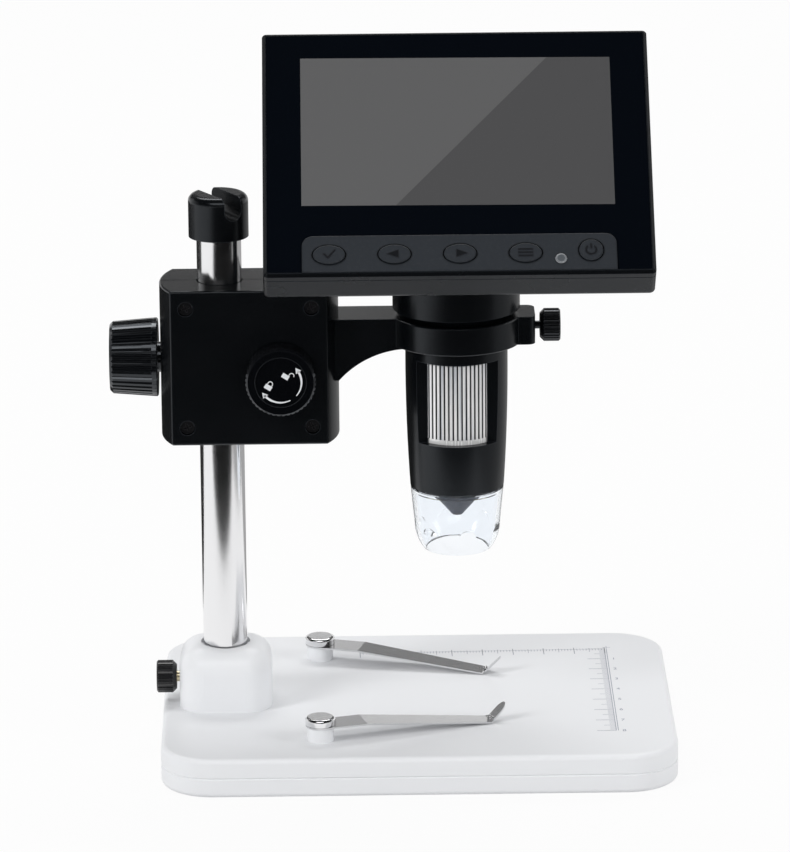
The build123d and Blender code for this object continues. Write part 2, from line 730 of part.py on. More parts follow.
def make_lock():
    back = block_front - lock_stand_off
    tip = shaft_y - shaft_radius - run_gap - brake_pad_length - face_gap
    # knob modelled along +Z with its back at 0, then turned to point along -Y
    face = ribbed_face(lock_knob_radius, lock_knob_rib_depth, lock_knob_rib_count)
    knob = slab(face, 0, lock_knob_length)
    edge = 0.7
    envelope = turned([(0, 0), (lock_knob_radius - edge, 0), (lock_knob_radius + 0.01, edge),
                       (lock_knob_radius + 0.01, lock_knob_length - edge),
                       (lock_knob_radius - edge, lock_knob_length), (0, lock_knob_length)])
    knob &= envelope
    knob -= disc(lock_face_radius, lock_knob_length - lock_face_recess, lock_knob_length + 1)
    knob -= disc(lock_stud_radius, -1, lock_knob_length - 2.5)
    nodes["lock_knob"] = Pos(lock_axis_x, back, drive_z) * Rot(90, 0, 0) * knob
    stud_head = back - (lock_knob_length - 2.5)
    nodes["lock_stud"] = rod_y(lock_stud_radius, stud_head, tip, lock_axis_x, drive_z)

    insert_start = block_front + block_wall
    insert = rod_y(lock_stud_radius + run_gap + lock_insert_wall, insert_start,
                   insert_start + lock_insert_length, lock_axis_x, drive_z)
    insert -= rod_y(lock_stud_radius + run_gap, insert_start - 1, pole_y, lock_axis_x, drive_z)
    nodes["lock_insert"] = insert
    pad_start = tip + face_gap
    pad = rod_y(brake_pad_radius, pad_start, shaft_y, lock_axis_x, drive_z)
    pad -= rod_x(shaft_radius + run_gap, lock_axis_x - 10, lock_axis_x + 10, shaft_y, drive_z)
    pad &= box_between((lock_axis_x - 10, pad_start - 1, drive_z - 10),
                       (lock_axis_x + 10, shaft_y - 0.4, drive_z + 10))
    nodes["brake_pad"] = pad


# ================================================================ arm
def make_arm():
    arm = Pos(0, pole_y, 0) * extrude(arm_side(), arm_width / 2, both=True)
    root_right = block_x + block_flat_width / 2 - block_wall
    root_low = arm_top - arm_root_height - arm_root_drop
    root_high = arm_top + arm_root_rise
    inner_half = block_depth / 2 - block_wall
    root = box_between((root_right - arm_root_thickness, pole_y - inner_half, root_low),
                       (root_right, pole_y + inner_half, root_high))
    arm += root
    ring = disc(ring_outer_radius, ring_bottom, arm_top, tube_x, pole_y)
    ring = fillet(edges_at(ring, ring_bottom) + edges_at(ring, arm_top), ring_edge_radius)
    arm += ring
    lug = rounded_plate(2 * lug_corner_radius + lug_reach, lug_width, lug_corner_radius,
                        ring_bottom, arm_top)
    lug = Pos(tube_x + lug_reach - lug_corner_radius - lug_reach / 2, pole_y) * lug
    arm += lug
    arm -= disc(ring_bore_radius, ring_bottom - 1, arm_top + 1, tube_x, pole_y)
    shaft_hole = ring_thumb_shaft_radius + run_gap
    arm -= rod_x(shaft_hole, tube_x + tube_neck_radius - 1, tube_x + lug_reach + 1, pole_y, ring_middle)
    nodes["arm"] = arm

    tip = tube_x + tube_neck_radius + face_gap
    head_at = tube_x + lug_reach + thumb_stand_off + 0.6
    screw = thumb_screw(ring_thumb_shaft_radius, head_at - tip)
    nodes["ring_thumb_screw"] = Pos(tip, pole_y, ring_middle) * Rot(0, 90, 0) * screw


# ================================================================ tube
def tube_outer_points():
    """The tube's outer line from the bottom up, without its bowed stretch."""
    return (tube_bottom_radius, tube_bottom), (tube_neck_radius, tube_taper_top)


def make_tube():
    low, high = tube_outer_points()
    top = neck_bottom + tube_top_cover
    bow = ((low[0] + high[0]) / 2 + tube_bulge, (low[1] + high[1]) / 2)
    outline = Curve() + [
        Line((0, 0, low[1]), (low[0] - tube_edge_radius, 0, low[1])),
        Line((low[0] - tube_edge_radius, 0, low[1]), (low[0], 0, low[1] + tube_edge_radius)),
        ThreePointArc((low[0], 0, low[1] + tube_edge_radius), (bow[0], 0, bow[1]), (high[0], 0, high[1])),
        Line((high[0], 0, high[1]), (tube_neck_radius, 0, top)),
        Line((tube_neck_radius, 0, top), (0, 0, top)),
        Line((0, 0, top), (0, 0, low[1])),
    ]
    tube = revolve(make_face(outline), Axis.Z)
    tube += disc(tube_flange_radius, neck_bottom + neck_floor, neck_bottom + neck_floor + tube_flange_height)
    cap_seat = clear_cap_outer_radius() - clear_cap_wall + run_gap
    seat_top = tube_bottom + clear_cap_spigot_length + face_gap
    tube -= disc(cap_seat, tube_bottom - 1, seat_top)
    ledge_radius = lens_carriage_radius() + body_gap
    tube -= disc(ledge_radius, tube_bottom - 1, top + 1)
    pocket_low = focus_ring_bottom - face_gap
    tube -= disc(ring_pocket_radius, pocket_low, ring_pocket_top)
    tube -= disc(tube_bore_radius, sensor_board_z, top + 1)
    for side in (-1, 1):
        inner = side * window_flat
        outer = side * (tube_neck_radius + 2)
        tube -= box_between((-tube_neck_radius - 1, min(inner, outer), window_bottom),
                            (tube_neck_radius + 1, max(inner, outer), window_top))
    nodes["tube_shell"] = Pos(tube_x, pole_y) * tube

    ring = slab(ribbed_face(focus_ring_radius, focus_ring_rib_depth, focus_ring_rib_count),
                focus_ring_bottom + focus_ring_rim, focus_ring_top - focus_ring_rim)
    plain = focus_ring_radius - focus_ring_rib_depth
    edge = 1.0
    ring += turned([(0, focus_ring_bottom), (plain - edge, focus_ring_bottom),
                    (plain, focus_ring_bottom + edge), (plain, focus_ring_top - edge),
                    (plain - edge, focus_ring_top), (0, focus_ring_top)])
    ring -= disc(focus_ring_radius - focus_ring_wall, focus_ring_bottom - 1, focus_ring_top + 1)
    nodes["focusing_ring"] = Pos(tube_x, pole_y) * ring

    carriage = disc(lens_carriage_radius(), lens_carriage_bottom,
                    lens_carriage_bottom + lens_carriage_length)
    carriage -= disc(lens_bore_radius, lens_carriage_bottom - 1,
                     lens_carriage_bottom + lens_carriage_length + 1)
    lens_places = (lens_carriage_bottom + 1.5,
                   lens_carriage_bottom + lens_carriage_length - 1.5 - lens_thickness)
    for height in lens_places:
        carriage -= disc(lens_radius, height, height + lens_thickness)
    nodes["lens_carriage"] = Pos(tube_x, pole_y) * carriage
    lens = [disc(lens_radius, height, height + lens_thickness, tube_x, pole_y) for height in lens_places]
    nodes["lenses"] = Compound(lens)


def lens_carriage_radius():
    """The carriage runs in the focusing ring's bore."""
    return focus_ring_radius - focus_ring_wall - run_gap


def clear_cap_outer_radius():
    """The clear cap meets the tube flush with its lower edge."""
    return tube_bottom_radius - 0.1


def make_clear_cap():
    top = tube_bottom - face_gap
    outer = clear_cap_outer_radius()
    shoulder = clear_cap_bottom + clear_cap_shoulder_height
    mouth = clear_cap_mouth_radius
    spigot = outer - clear_cap_wall
    spigot_top = tube_bottom + clear_cap_spigot_length

    def profile(shrink, low, high):
        side = outer - shrink
        return Curve() + [
            Line((0, 0, low), (mouth - shrink, 0, low)),
            ThreePointArc((mouth - shrink, 0, low),
                          (clear_cap_shoulder_radius - clear_cap_bulge - shrink, 0,
                           clear_cap_bottom + clear_cap_bulge_height),
                          (clear_cap_shoulder_radius - shrink, 0, shoulder)),
            Line((clear_cap_shoulder_radius - shrink, 0, shoulder), (side, 0, high)),
            Line((side, 0, high), (0, 0, high)),
            Line((0, 0, high), (0, 0, low)),
        ]

    body = revolve(make_face(profile(0, clear_cap_bottom, top)), Axis.Z)
    body += disc(spigot, top - clear_cap_wall, spigot_top)
    body -= revolve(make_face(profile(clear_cap_wall, clear_cap_bottom - 0.5, top - clear_cap_wall)), Axis.Z)
    body -= disc(spigot - clear_cap_wall, top - 2 * clear_cap_wall, spigot_top + 1)
    for i in range(clear_cap_arch_count):
        arch_low = clear_cap_bottom - 1
        arch_high = clear_cap_bottom + clear_cap_arch_height - clear_cap_arch_width / 2
        half = clear_cap_arch_width / 2
        reach = clear_cap_shoulder_radius - clear_cap_wall + clear_cap_arch_depth
        arch = box_between((-half, 0, arch_low), (half, reach + 5, arch_high))
        arch += rod_y(half, 0, reach + 5, 0, arch_high)
        limit = turned([(0, arch_low), (mouth - clear_cap_wall + clear_cap_arch_depth, arch_low),
                        (mouth - clear_cap_wall + clear_cap_arch_depth, clear_cap_bottom),
                        (reach, shoulder), (reach, shoulder + 5), (0, shoulder + 5)])
        body -= Rot(0, 0, 360 / clear_cap_arch_count * i + 14) * (arch & limit)
    nodes["clear_cap"] = Pos(tube_x, pole_y) * body


def make_optics():
    board_radius = tube_bore_radius - run_gap
    board_low = sensor_board_z
    board = disc(board_radius, board_low, board_low + sensor_board_thickness)
    half = sensor_size / 2
    board += box_between((-half, -half, board_low - sensor_thickness), (half, half, board_low))
    nodes["sensor_board"] = Pos(tube_x, pole_y) * board

    ledge_radius = lens_carriage_radius() + body_gap
    led_board_radius = ledge_radius - run_gap
    led_board = disc(led_board_radius, led_board_z, led_board_z + led_board_thickness)
    led_board -= disc(led_board_bore_radius, led_board_z - 1,
                      led_board_z + led_board_thickness + 1)
    nodes["led_board"] = Pos(tube_x, pole_y) * led_board
    leds = []
    for i in range(led_count):
        angle = 2 * math.pi * i / led_count
        x = led_circle_radius * math.cos(angle)
        y = led_circle_radius * math.sin(angle)
        led = disc(led_radius, led_board_z - led_length, led_board_z)
        led = fillet(edges_at(led, led_board_z - led_length), led_radius * 0.7)
        leds.append(Pos(tube_x + x, pole_y + y) * led)
    nodes["leds"] = Compound(leds)

    cone_top = hood_tip_z + hood_cone_height
    rim_top = cone_top + hood_rim_height
    hood = turned([(0, hood_tip_z), (hood_tip_radius, hood_tip_z),
                   (hood_top_radius, cone_top), (hood_top_radius, rim_top),
                   (led_board_bore_radius, rim_top), (led_board_bore_radius, led_board_z),
                   (0, led_board_z)])
    hood -= turned([(0, hood_tip_z - 1), (hood_tip_radius - 0.7, hood_tip_z - 1),
                    (hood_tip_radius - 0.7, hood_tip_z + 0.5),
                    (led_board_bore_radius - hood_wall, cone_top),
                    (led_board_bore_radius - hood_wall, led_board_z + 1),
                    (0, led_board_z + 1)])
    nodes["lens_hood"] = Pos(tube_x, pole_y) * hood


# ================================================================ display head
def face_frame():
    """Frame of the display's face: X right, Y up the face, Z outwards."""
    lean = math.radians(display_tilt)
    plane = Plane(origin=(tube_x, display_y, display_z), x_dir=(1, 0, 0),
                  z_dir=(0, -math.sin(lean), math.cos(lean)))
    return Location(plane)


def behind(sketch, start, end):
    """A sketch on the face, pushed in between two depths behind the face."""
    return extrude(Pos(0, 0, -end) * sketch, end - start)


def face_rectangle(width, low, high, radius):
    """Rounded rectangle on the face between two rows."""
    return Pos(0, (low + high) / 2) * RectangleRounded(width, high - low, radius)


def button_shapes(grow=0.0):
    """Name, place and outline of each button, grown all round."""
    shapes = []
    oval_names = ("button_ok", "button_left", "button_right", "button_menu")
    for i, name in enumerate(oval_names):
        outline = Ellipse(button_half_width + grow, button_half_height + grow)
        shapes.append((name, (button_first + i * button_pitch, button_row), outline))
    round_one = Circle(power_button_radius + grow)
    shapes.append(("button_power", (power_button_x, power_button_row), round_one))
    return shapes


def button_panel_outline(grow=0.0):
    """Panel outline: round top corners, square lower ones on the bezel's rim."""
    low = -display_below + bezel_rim
    high = low + button_panel_height
    width = button_panel_width + 2 * grow
    panel = face_rectangle(width, low, high + grow, button_panel_corner_radius)
    return panel + Pos(0, low + button_panel_height / 4) * Rectangle(width, button_panel_height / 2)


def housing_screw_places():
    """Screws that join the housing and the bezel, on the face."""
    half = display_width / 2 - housing_screw_inset
    rows = (-display_below + housing_screw_inset, display_above - housing_screw_inset)
    return [(sx * half, row) for sx in (-1, 1) for row in rows]


def hump_solid(inset):
    """Raised back of the housing, tapered, drawn in by an inset."""
    width = hump_width - 2 * inset
    length = hump_length - 2 * inset
    radius = hump_corner_radius - inset
    sketch = Pos(0, hump_offset, -display_edge_depth + inset) * RectangleRounded(width, length, radius)
    return extrude(sketch, -hump_height, taper=hump_taper)


def make_display():
    frame = face_frame()
    low = -display_below
    high = display_above
    outline = face_rectangle(display_width, low, high, display_corner_radius)

    # front bezel
    bezel = behind(outline, 0, bezel_depth)
    bezel = chamfer(bezel.edges().group_by(Axis.Z)[-1], bezel_chamfer)
    seat = face_rectangle(display_width - 2 * bezel_rim, low + bezel_rim, high - bezel_rim, 0.6)
    bezel -= behind(seat, -1, bezel_ledge)
    panel_top = low + bezel_rim + button_panel_height
    lcd_opening = face_rectangle(lcd_width + 2 * body_gap, -lcd_height / 2 - body_gap,
                                 lcd_height / 2 + body_gap, 0.5)
    bezel -= behind(lcd_opening, -1, bezel_depth + 1)
    for _, place, shape in button_shapes(button_flange + body_gap):
        bezel -= Pos(*place) * behind(shape, bezel_ledge - 0.1, bezel_depth + 1)
    bezel -= Pos(indicator_x, indicator_row) * behind(Circle(indicator_radius), -1, bezel_depth + 1)
    for x, y in housing_screw_places():
        bezel += Pos(x, y) * behind(Circle(housing_post_radius), bezel_ledge, bezel_depth + bezel_post_rise)
        bezel -= Pos(x, y) * behind(Circle(housing_screw_radius), bezel_ledge + 0.6, bezel_depth + 2)
    for side in (-1, 1):
        post = behind(Circle(board_post_radius), bezel_depth - 0.5, button_board_depth)
        bezel += Pos(side * board_post_x, button_row) * post
    nodes["front_bezel"] = frame * bezel

    # rear housing
    start = bezel_depth + bezel_groove
    rear = behind(outline, start, display_edge_depth)
    rear = fillet(rear.edges().group_by(Axis.Z)[0], housing_edge_radius)
    rear += hump_solid(0)
    inner = face_rectangle(display_width - 2 * housing_wall, low + housing_wall, high - housing_wall, 1.0)
    rear -= behind(inner, start - 1, display_edge_depth - housing_wall)
    rear -= hump_solid(housing_wall)
    lip = face_rectangle(display_width - 2 * bezel_rim - 0.2, low + bezel_rim + 0.1,
                         high - bezel_rim - 0.1, 0.8)
    lip -= face_rectangle(display_width - 2 * housing_wall - 1, low + housing_wall + 0.5,
                          high - housing_wall - 0.5, 1.0)
    rear += behind(lip, bezel_depth, start + 1)
    post_end = bezel_depth + bezel_post_rise
    for x, y in housing_screw_places():
        rear -= Pos(x, y) * behind(Circle(housing_post_radius + body_gap), 0, post_end)
        post = behind(Circle(housing_post_radius), post_end, display_edge_depth - 1)
        rear += Pos(x, y) * post
        rear -= Pos(x, y) * behind(Circle(housing_screw_radius + run_gap), 0, display_edge_depth + 1)
        head_seat = display_edge_depth - housing_screw_head_height
        rear -= Pos(x, y) * behind(Circle(housing_screw_head_radius + run_gap), head_seat,
                                   display_edge_depth + 1)
    board_places = [(sx * (main_board_width / 2 - 4), sy * (main_board_height / 2 - 4))
                    for sx in (-1, 1) for sy in (-1, 1)]
    for x, y in board_places:
        post = behind(Circle(2.2), main_board_depth + board_thickness, display_edge_depth - 1)
        rear += Pos(x, y) * post
    rear = frame * rear
    neck_bore = neck_radius - neck_wall - 4
    passage = disc(neck_bore, neck_bottom, display_z + display_above, tube_x, pole_y)
    inside_envelope = frame * behind(Rectangle(4 * display_width, 4 * display_width),
                                     -display_width, main_board_depth + board_thickness + 1)
    rear -= passage - inside_envelope
    port_x = display_width / 2
    for width, height, row in ((usb_width, usb_height, usb_row), (card_width, card_height, card_row)):
        middle_depth = main_board_depth - height / 2
        hole = Pos(port_x, row, -middle_depth) * Box(4 * housing_wall, width, height)
        rear -= frame * hole
    nodes["rear_housing"] = rear

    screws = []
    for x, y in housing_screw_places():
        head_top = display_edge_depth - 0.2
        head_seat = display_edge_depth - housing_screw_head_height
        screw = behind(Circle(housing_screw_head_radius), head_seat, head_top)
        recess = cross_recess(housing_screw_head_radius, recess_depth)
        screw -= Pos(0, 0, -head_top) * Rot(180, 0, 0) * recess
        screw += behind(Circle(housing_screw_radius), bezel_ledge + 0.9, head_seat + 0.1)
        screws.append(frame * Pos(x, y) * screw)
    nodes["housing_screws"] = Compound(screws)

    # glass, screen and button panel
    glass = face_rectangle(display_width - 2 * bezel_rim - 2 * glass_gap, low + bezel_rim + glass_gap,
                           high - bezel_rim - glass_gap, 0.5)
    glass -= button_panel_outline(glass_gap)
    nodes["display_glass"] = frame * behind(glass, 0.1, bezel_ledge)
    lcd = behind(face_rectangle(lcd_width, -lcd_height / 2, lcd_height / 2, 0.4),
                 bezel_ledge, bezel_ledge + lcd_thickness)
    nodes["lcd_panel"] = frame * lcd
    panel = behind(button_panel_outline(), -button_panel_rise, bezel_ledge)
    panel = fillet(panel.edges().group_by(Axis.Z)[-1], 0.25)
    for _, place, shape in button_shapes(button_gap):
        panel -= Pos(*place) * behind(shape, -2, bezel_ledge + 1)
    panel -= Pos(indicator_x, indicator_row) * behind(Circle(indicator_radius), -2, bezel_ledge + 1)
    nodes["button_panel"] = frame * panel
    lens_top = button_panel_rise + 0.25
    lens = behind(Circle(indicator_radius), -lens_top, bezel_depth)
    lens = fillet(lens.edges().group_by(Axis.Z)[-1], 0.4)
    nodes["indicator_lens"] = frame * Pos(indicator_x, indicator_row) * lens

    # buttons
    flange_top = bezel_ledge + face_gap
    flange_end = flange_top + button_flange_thickness
    stem_end = button_board_depth - switch_height - button_travel - switch_clearance
    flanges = {name: shape for name, _, shape in button_shapes(button_flange)}
    for name, place, shape in button_shapes():
        cap = behind(shape, -button_panel_rise - button_rise, flange_end)
        cap = fillet(cap.edges().group_by(Axis.Z)[-1], 0.25)
        cap += behind(flanges[name], flange_top, flange_end)
        cap += behind(Circle(button_stem_radius), flange_end - 0.1, stem_end)
        nodes[name] = frame * Pos(*place) * cap

    # boards and battery
    board_outline = Rectangle(2 * (board_post_x + board_post_radius), button_board_height)
    board = Pos(0, button_row) * behind(board_outline, button_board_depth,
                                        button_board_depth + board_thickness)
    for _, place, _ in button_shapes():
        switch = behind(Rectangle(switch_size, switch_size), button_board_depth - switch_height,
                        button_board_depth)
        board += Pos(*place) * switch
    nodes["button_board"] = frame * board
    main = behind(Rectangle(main_board_width, main_board_height), main_board_depth,
                  main_board_depth + board_thickness)
    nodes["main_board"] = frame * main
    battery_end = display_edge_depth + hump_height - housing_wall
    hump_draw = hump_height * math.tan(math.radians(hump_taper))
    battery_x = battery_width / 2 + body_gap + housing_wall + hump_draw - hump_width / 2
    battery = behind(RectangleRounded(battery_width, battery_length, 1.5),
                     battery_end - battery_thickness, battery_end)
    nodes["battery"] = frame * Pos(battery_x, hump_offset) * battery

    # ports on the right side
    port_face = display_width / 2 - 0.4
    usb_middle = port_face - usb_length / 2
    usb_depth = main_board_depth - (usb_height - port_gap) / 2
    usb = Box(usb_length, usb_width - port_gap, usb_height - port_gap)
    usb = Pos(usb_middle, usb_row, -usb_depth) * usb
    usb_mouth = Box(usb_length, usb_width - usb_shell, usb_height - usb_shell)
    usb -= Pos(port_face, usb_row, -usb_depth) * usb_mouth
    nodes["usb_socket"] = frame * usb
    card_middle = port_face - card_length / 2
    card_depth = main_board_depth - (card_height - port_gap) / 2
    card = Pos(card_middle, card_row, -card_depth) * Box(card_length, card_width - port_gap,
                                                         card_height - port_gap)
    card -= Pos(port_face, card_row, -card_depth) * Box(card_length, card_width - card_shell,
                                                        card_height - card_shell)
    nodes["card_slot"] = frame * card

    # ribbon from the sensor board up to the back of the main board
    ribbon_low = sensor_board_z + sensor_board_thickness
    ribbon = box_between((tube_x - ribbon_width / 2, pole_y - ribbon_thickness / 2, ribbon_low),
                         (tube_x + ribbon_width / 2, pole_y + ribbon_thickness / 2, display_z + display_above))
    ahead = behind(Rectangle(4 * display_width, 4 * display_width), -display_width,
                   main_board_depth + board_thickness)
    nodes["camera_ribbon"] = ribbon - frame * ahead


def make_neck():
    frame = face_frame()
    top = display_z + display_above
    bottom = neck_bottom
    neck = turned([(0, bottom), (neck_radius - neck_chamfer, bottom), (neck_radius, bottom + neck_chamfer),
                   (neck_radius, top), (0, top)])
    neck -= disc(neck_radius - neck_wall, bottom + neck_floor, top + 1)
    neck -= disc(tube_neck_radius, bottom - 1, bottom + neck_floor + 1)
    neck = Pos(tube_x, pole_y) * neck
    slab_space = behind(Rectangle(4 * display_width, 4 * display_width), -display_width, display_edge_depth)
    neck -= frame * slab_space
    neck -= frame * hump_solid(0)
    nodes["neck"] = neck


make_base()
make_base_thumb_screw()
make_pole()
make_clips()
make_block()
make_focus_drive()
make_lock()
make_arm()
make_tube()
make_clear_cap()
make_optics()
make_display()
make_neck()

for name, solid in nodes.items():
    export_step(Compound(solid.solids()), f"parts/{name}.step")
print(len(nodes), "nodes written")
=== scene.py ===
# %% [markdown]
# # A digital microscope with its own screen, on a pole stand
#
# The object is a small bench microscope. A white plastic base carries a polished pole. A black
# carriage slides on the pole, and its arm holds the head: a camera tube below, a screen above.
#
# The engineering model already holds every moulded and turned piece at its real size. This lesson
# gives those pieces their finishes, adds what is printed or embossed on them, and sets the studio.
# Everything is in metres, in the model's own frame: X to the right, Y away, Z up.

# %% Load the model
import math

import bpy
from mathutils import Matrix, Vector


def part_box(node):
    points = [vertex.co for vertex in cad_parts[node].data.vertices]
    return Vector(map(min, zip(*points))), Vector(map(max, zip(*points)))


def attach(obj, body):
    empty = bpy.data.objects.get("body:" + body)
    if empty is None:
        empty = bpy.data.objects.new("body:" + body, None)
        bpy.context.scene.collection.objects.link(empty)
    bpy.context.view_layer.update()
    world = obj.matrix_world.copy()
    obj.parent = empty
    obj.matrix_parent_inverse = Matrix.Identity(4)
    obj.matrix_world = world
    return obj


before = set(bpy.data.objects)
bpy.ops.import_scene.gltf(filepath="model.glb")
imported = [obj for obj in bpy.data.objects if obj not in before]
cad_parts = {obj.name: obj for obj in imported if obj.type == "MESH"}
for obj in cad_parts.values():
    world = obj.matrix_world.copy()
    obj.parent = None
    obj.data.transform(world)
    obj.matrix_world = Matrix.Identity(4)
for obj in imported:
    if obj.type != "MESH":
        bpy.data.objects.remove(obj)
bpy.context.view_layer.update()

# %% [markdown]
# ## Lengths
#
# The model is in millimetres on paper and in metres here, so one factor turns the first into the
# second. The places of the printed and embossed details follow the model's own boxes.

# %% Lengths
MM = 0.001


def corners(node):
    """Lowest and highest corner of a model piece, as vectors."""
    low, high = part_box(node)
    return Vector(low), Vector(high)


def middle(node):
    """Centre of a model piece's box."""
    low, high = corners(node)
    return (low + high) / 2


tube_middle = middle("tube_shell")
stage_top = corners("clip_posts")[0].z
print("stage at", round(stage_top, 5), "tube axis at", tube_middle.x, tube_middle.y)

# %% [markdown]
# ## The camera
#
# A long lens from far off keeps the verticals nearly parallel, as in a catalogue picture. The
# camera stands in front of the object and looks down at it. It is turned in three steps, as a
# tripod head is: to the side, down, and a touch over.

# %% The camera
picture_height = 852
focal_pixels = 5863.5
sensor_side = 36
camera_place = Vector((-26.13, -1776.17, 628.63)) * MM
camera_down = math.radians(16.506)
camera_side = math.radians(-0.637)
camera_over = math.radians(-0.486)
nearest_seen = 0.05
farthest_seen = 20

camera_data = bpy.data.cameras.new("studio_camera")
camera_data.sensor_width = sensor_side
camera_data.lens = focal_pixels * sensor_side / picture_height
camera_data.clip_start = nearest_seen
camera_data.clip_end = farthest_seen
camera = bpy.data.objects.new("studio_camera", camera_data)
bpy.context.scene.collection.objects.link(camera)
turn = Matrix.Rotation(camera_side, 4, "Z")
turn = turn @ Matrix.Rotation(math.pi / 2 - camera_down, 4, "X")
turn = turn @ Matrix.Rotation(camera_over, 4, "Z")
camera.matrix_world = Matrix.Translation(camera_place) @ turn
bpy.context.scene.camera = camera
print("lens", round(camera_data.lens, 1), "mm")

# %% [markdown]
# ## Helpers for nodes
#
# A material is a small network: nodes that measure a point of the surface, nodes that reckon with
# the measures, and one shader at the end. These helpers add a node, wire it, and hand on its
# result, so that a finish reads like a formula.

# %% Helpers for nodes
def node(tree, kind, **settings):
    """New node with its settings."""
    made = tree.nodes.new(kind)
    for key, value in settings.items():
        setattr(made, key, value)
    return made


def link(tree, start, end):
    """Wire one socket to another."""
    tree.links.new(start, end)


def maths(tree, operation, first, second=None, third=None, clamp=False):
    """Math node: sockets are wired, numbers are set. Returns the result."""
    made = node(tree, "ShaderNodeMath", operation=operation, use_clamp=clamp)
    for i, value in enumerate((first, second, third)):
        if value is None:
            continue
        if isinstance(value, (int, float)):
            made.inputs[i].default_value = value
        else:
            link(tree, value, made.inputs[i])
    return made.outputs[0]


def vector_maths(tree, operation, first, second=None):
    """Vector math node on a wired vector and a wired or fixed one. Returns the result."""
    made = node(tree, "ShaderNodeVectorMath", operation=operation)
    link(tree, first, made.inputs[0])
    if isinstance(second, bpy.types.NodeSocket):
        link(tree, second, made.inputs[1])
    elif second is not None:
        made.inputs[1].default_value = second
    return made.outputs["Value" if operation in ("DOT_PRODUCT", "LENGTH") else "Vector"]


# %% Parts, ranges and places
def part(tree, vector, axis):
    """X, Y or Z of a vector."""
    made = node(tree, "ShaderNodeSeparateXYZ")
    link(tree, vector, made.inputs[0])
    return made.outputs[axis]


def ramp(tree, value, first, last, low=0.0, high=1.0):
    """Map first..last to low..high, and hold both ends."""
    made = node(tree, "ShaderNodeMapRange")
    for title, number in zip(("From Min", "From Max", "To Min", "To Max"), (first, last, low, high)):
        made.inputs[title].default_value = number
    link(tree, value, made.inputs["Value"])
    return made.outputs[0]


def object_place(tree):
    """Position of a surface point in the object's own metres."""
    return node(tree, "ShaderNodeTexCoord").outputs["Object"]


def noise(tree, place, scale, detail, roughness=0.5):
    """Noise at a position. The scale is a socket that says how many waves fill a metre."""
    made = node(tree, "ShaderNodeTexNoise")
    made.inputs["Detail"].default_value = detail
    made.inputs["Roughness"].default_value = roughness
    link(tree, place, made.inputs["Vector"])
    link(tree, scale, made.inputs["Scale"])
    return made.outputs[0]


# %% [markdown]
# ## Shared effects
#
# Moulded plastic is never quite even: it has a fine grain from the mould's face, its edges get a
# painted highlight (painted shade on the key panel), and dust settles on it. Turned and drawn metal
# has fine lines. Each effect is one node group, used by many materials with their own numbers. A
# change to a group then reaches them all.

# %% An empty group
FLOAT = "NodeSocketFloat"
VECTOR = "NodeSocketVector"


def new_group(name, inputs, outputs):
    """Empty shader group with named sockets. Returns it with its entry and its result."""
    group = bpy.data.node_groups.new(name, "ShaderNodeTree")
    for title, kind, value in inputs:
        socket = group.interface.new_socket(title, in_out="INPUT", socket_type=kind)
        socket.default_value = value
    for title, kind in outputs:
        group.interface.new_socket(title, in_out="OUTPUT", socket_type=kind)
    entry = group.nodes.new("NodeGroupInput")
    result = group.nodes.new("NodeGroupOutput")
    return group, entry, result


# %% Grain group
def make_grain():
    """Fine pits on slow waves, as a height, and the slow waves alone as patches."""
    group, entry, result = new_group(
        "mould_grain",
        [
            ("Grain per metre", FLOAT, 2500.0),
            ("Waves per metre", FLOAT, 60.0),
            ("Waves", FLOAT, 0.3),
        ],
        [("Height", FLOAT), ("Patches", FLOAT)],
    )
    place = object_place(group)
    fine = noise(group, place, entry.outputs["Grain per metre"], detail=2.0)
    slow = noise(group, place, entry.outputs["Waves per metre"], detail=3.0)
    waves = maths(group, "MULTIPLY", slow, entry.outputs["Waves"])
    link(group, maths(group, "ADD", fine, waves), result.inputs["Height"])
    link(group, slow, result.inputs["Patches"])
    return group


mould_grain = make_grain()

# %% Group for painted edge highlights and shade
def make_edges():
    """Mask that is 1 where a surface turns over an edge, where materials paint a highlight or shade."""
    group, entry, result = new_group(
        "painted_edge_shading", [("Reach", FLOAT, 0.4 * MM), ("Gain", FLOAT, 4.0)], [("Mask", FLOAT)]
    )
    rounded = node(group, "ShaderNodeBevel", samples=6)
    link(group, entry.outputs["Reach"], rounded.inputs["Radius"])
    plain = node(group, "ShaderNodeNewGeometry")
    same = vector_maths(group, "DOT_PRODUCT", rounded.outputs[0], plain.outputs["Normal"])
    turned = maths(group, "SUBTRACT", 1.0, same)
    mask = maths(group, "MULTIPLY", turned, entry.outputs["Gain"], clamp=True)
    link(group, mask, result.inputs["Mask"])
    return group


painted_edge_shading = make_edges()

# %% Dust group
def make_dust():
    """Mask of fine dust, thicker on faces that look up."""
    group, entry, result = new_group(
        "settled_dust",
        [("Specks per metre", FLOAT, 900.0), ("Amount", FLOAT, 0.5)],
        [("Mask", FLOAT)],
    )
    place = object_place(group)
    specks = noise(group, place, entry.outputs["Specks per metre"], detail=4.0, roughness=0.7)
    facing = node(group, "ShaderNodeNewGeometry")
    upward = ramp(group, part(group, facing.outputs["Normal"], "Z"), -0.2, 1.0)
    both = maths(group, "MULTIPLY", ramp(group, specks, 0.5, 0.8), upward)
    link(group, maths(group, "MULTIPLY", both, entry.outputs["Amount"]), result.inputs["Mask"])
    return group


settled_dust = make_dust()

# %% Line group
def make_lines():
    """Fine lines of turned or drawn metal. A small number in Across draws them out that way."""
    group, entry, result = new_group(
        "turned_lines",
        [("Across", VECTOR, (1.0, 1.0, 1.0)), ("Lines per metre", FLOAT, 3000.0)],
        [("Height", FLOAT)],
    )
    drawn_out = vector_maths(group, "MULTIPLY", object_place(group), entry.outputs["Across"])
    lines = noise(group, drawn_out, entry.outputs["Lines per metre"], detail=3.0)
    link(group, lines, result.inputs["Height"])
    return group


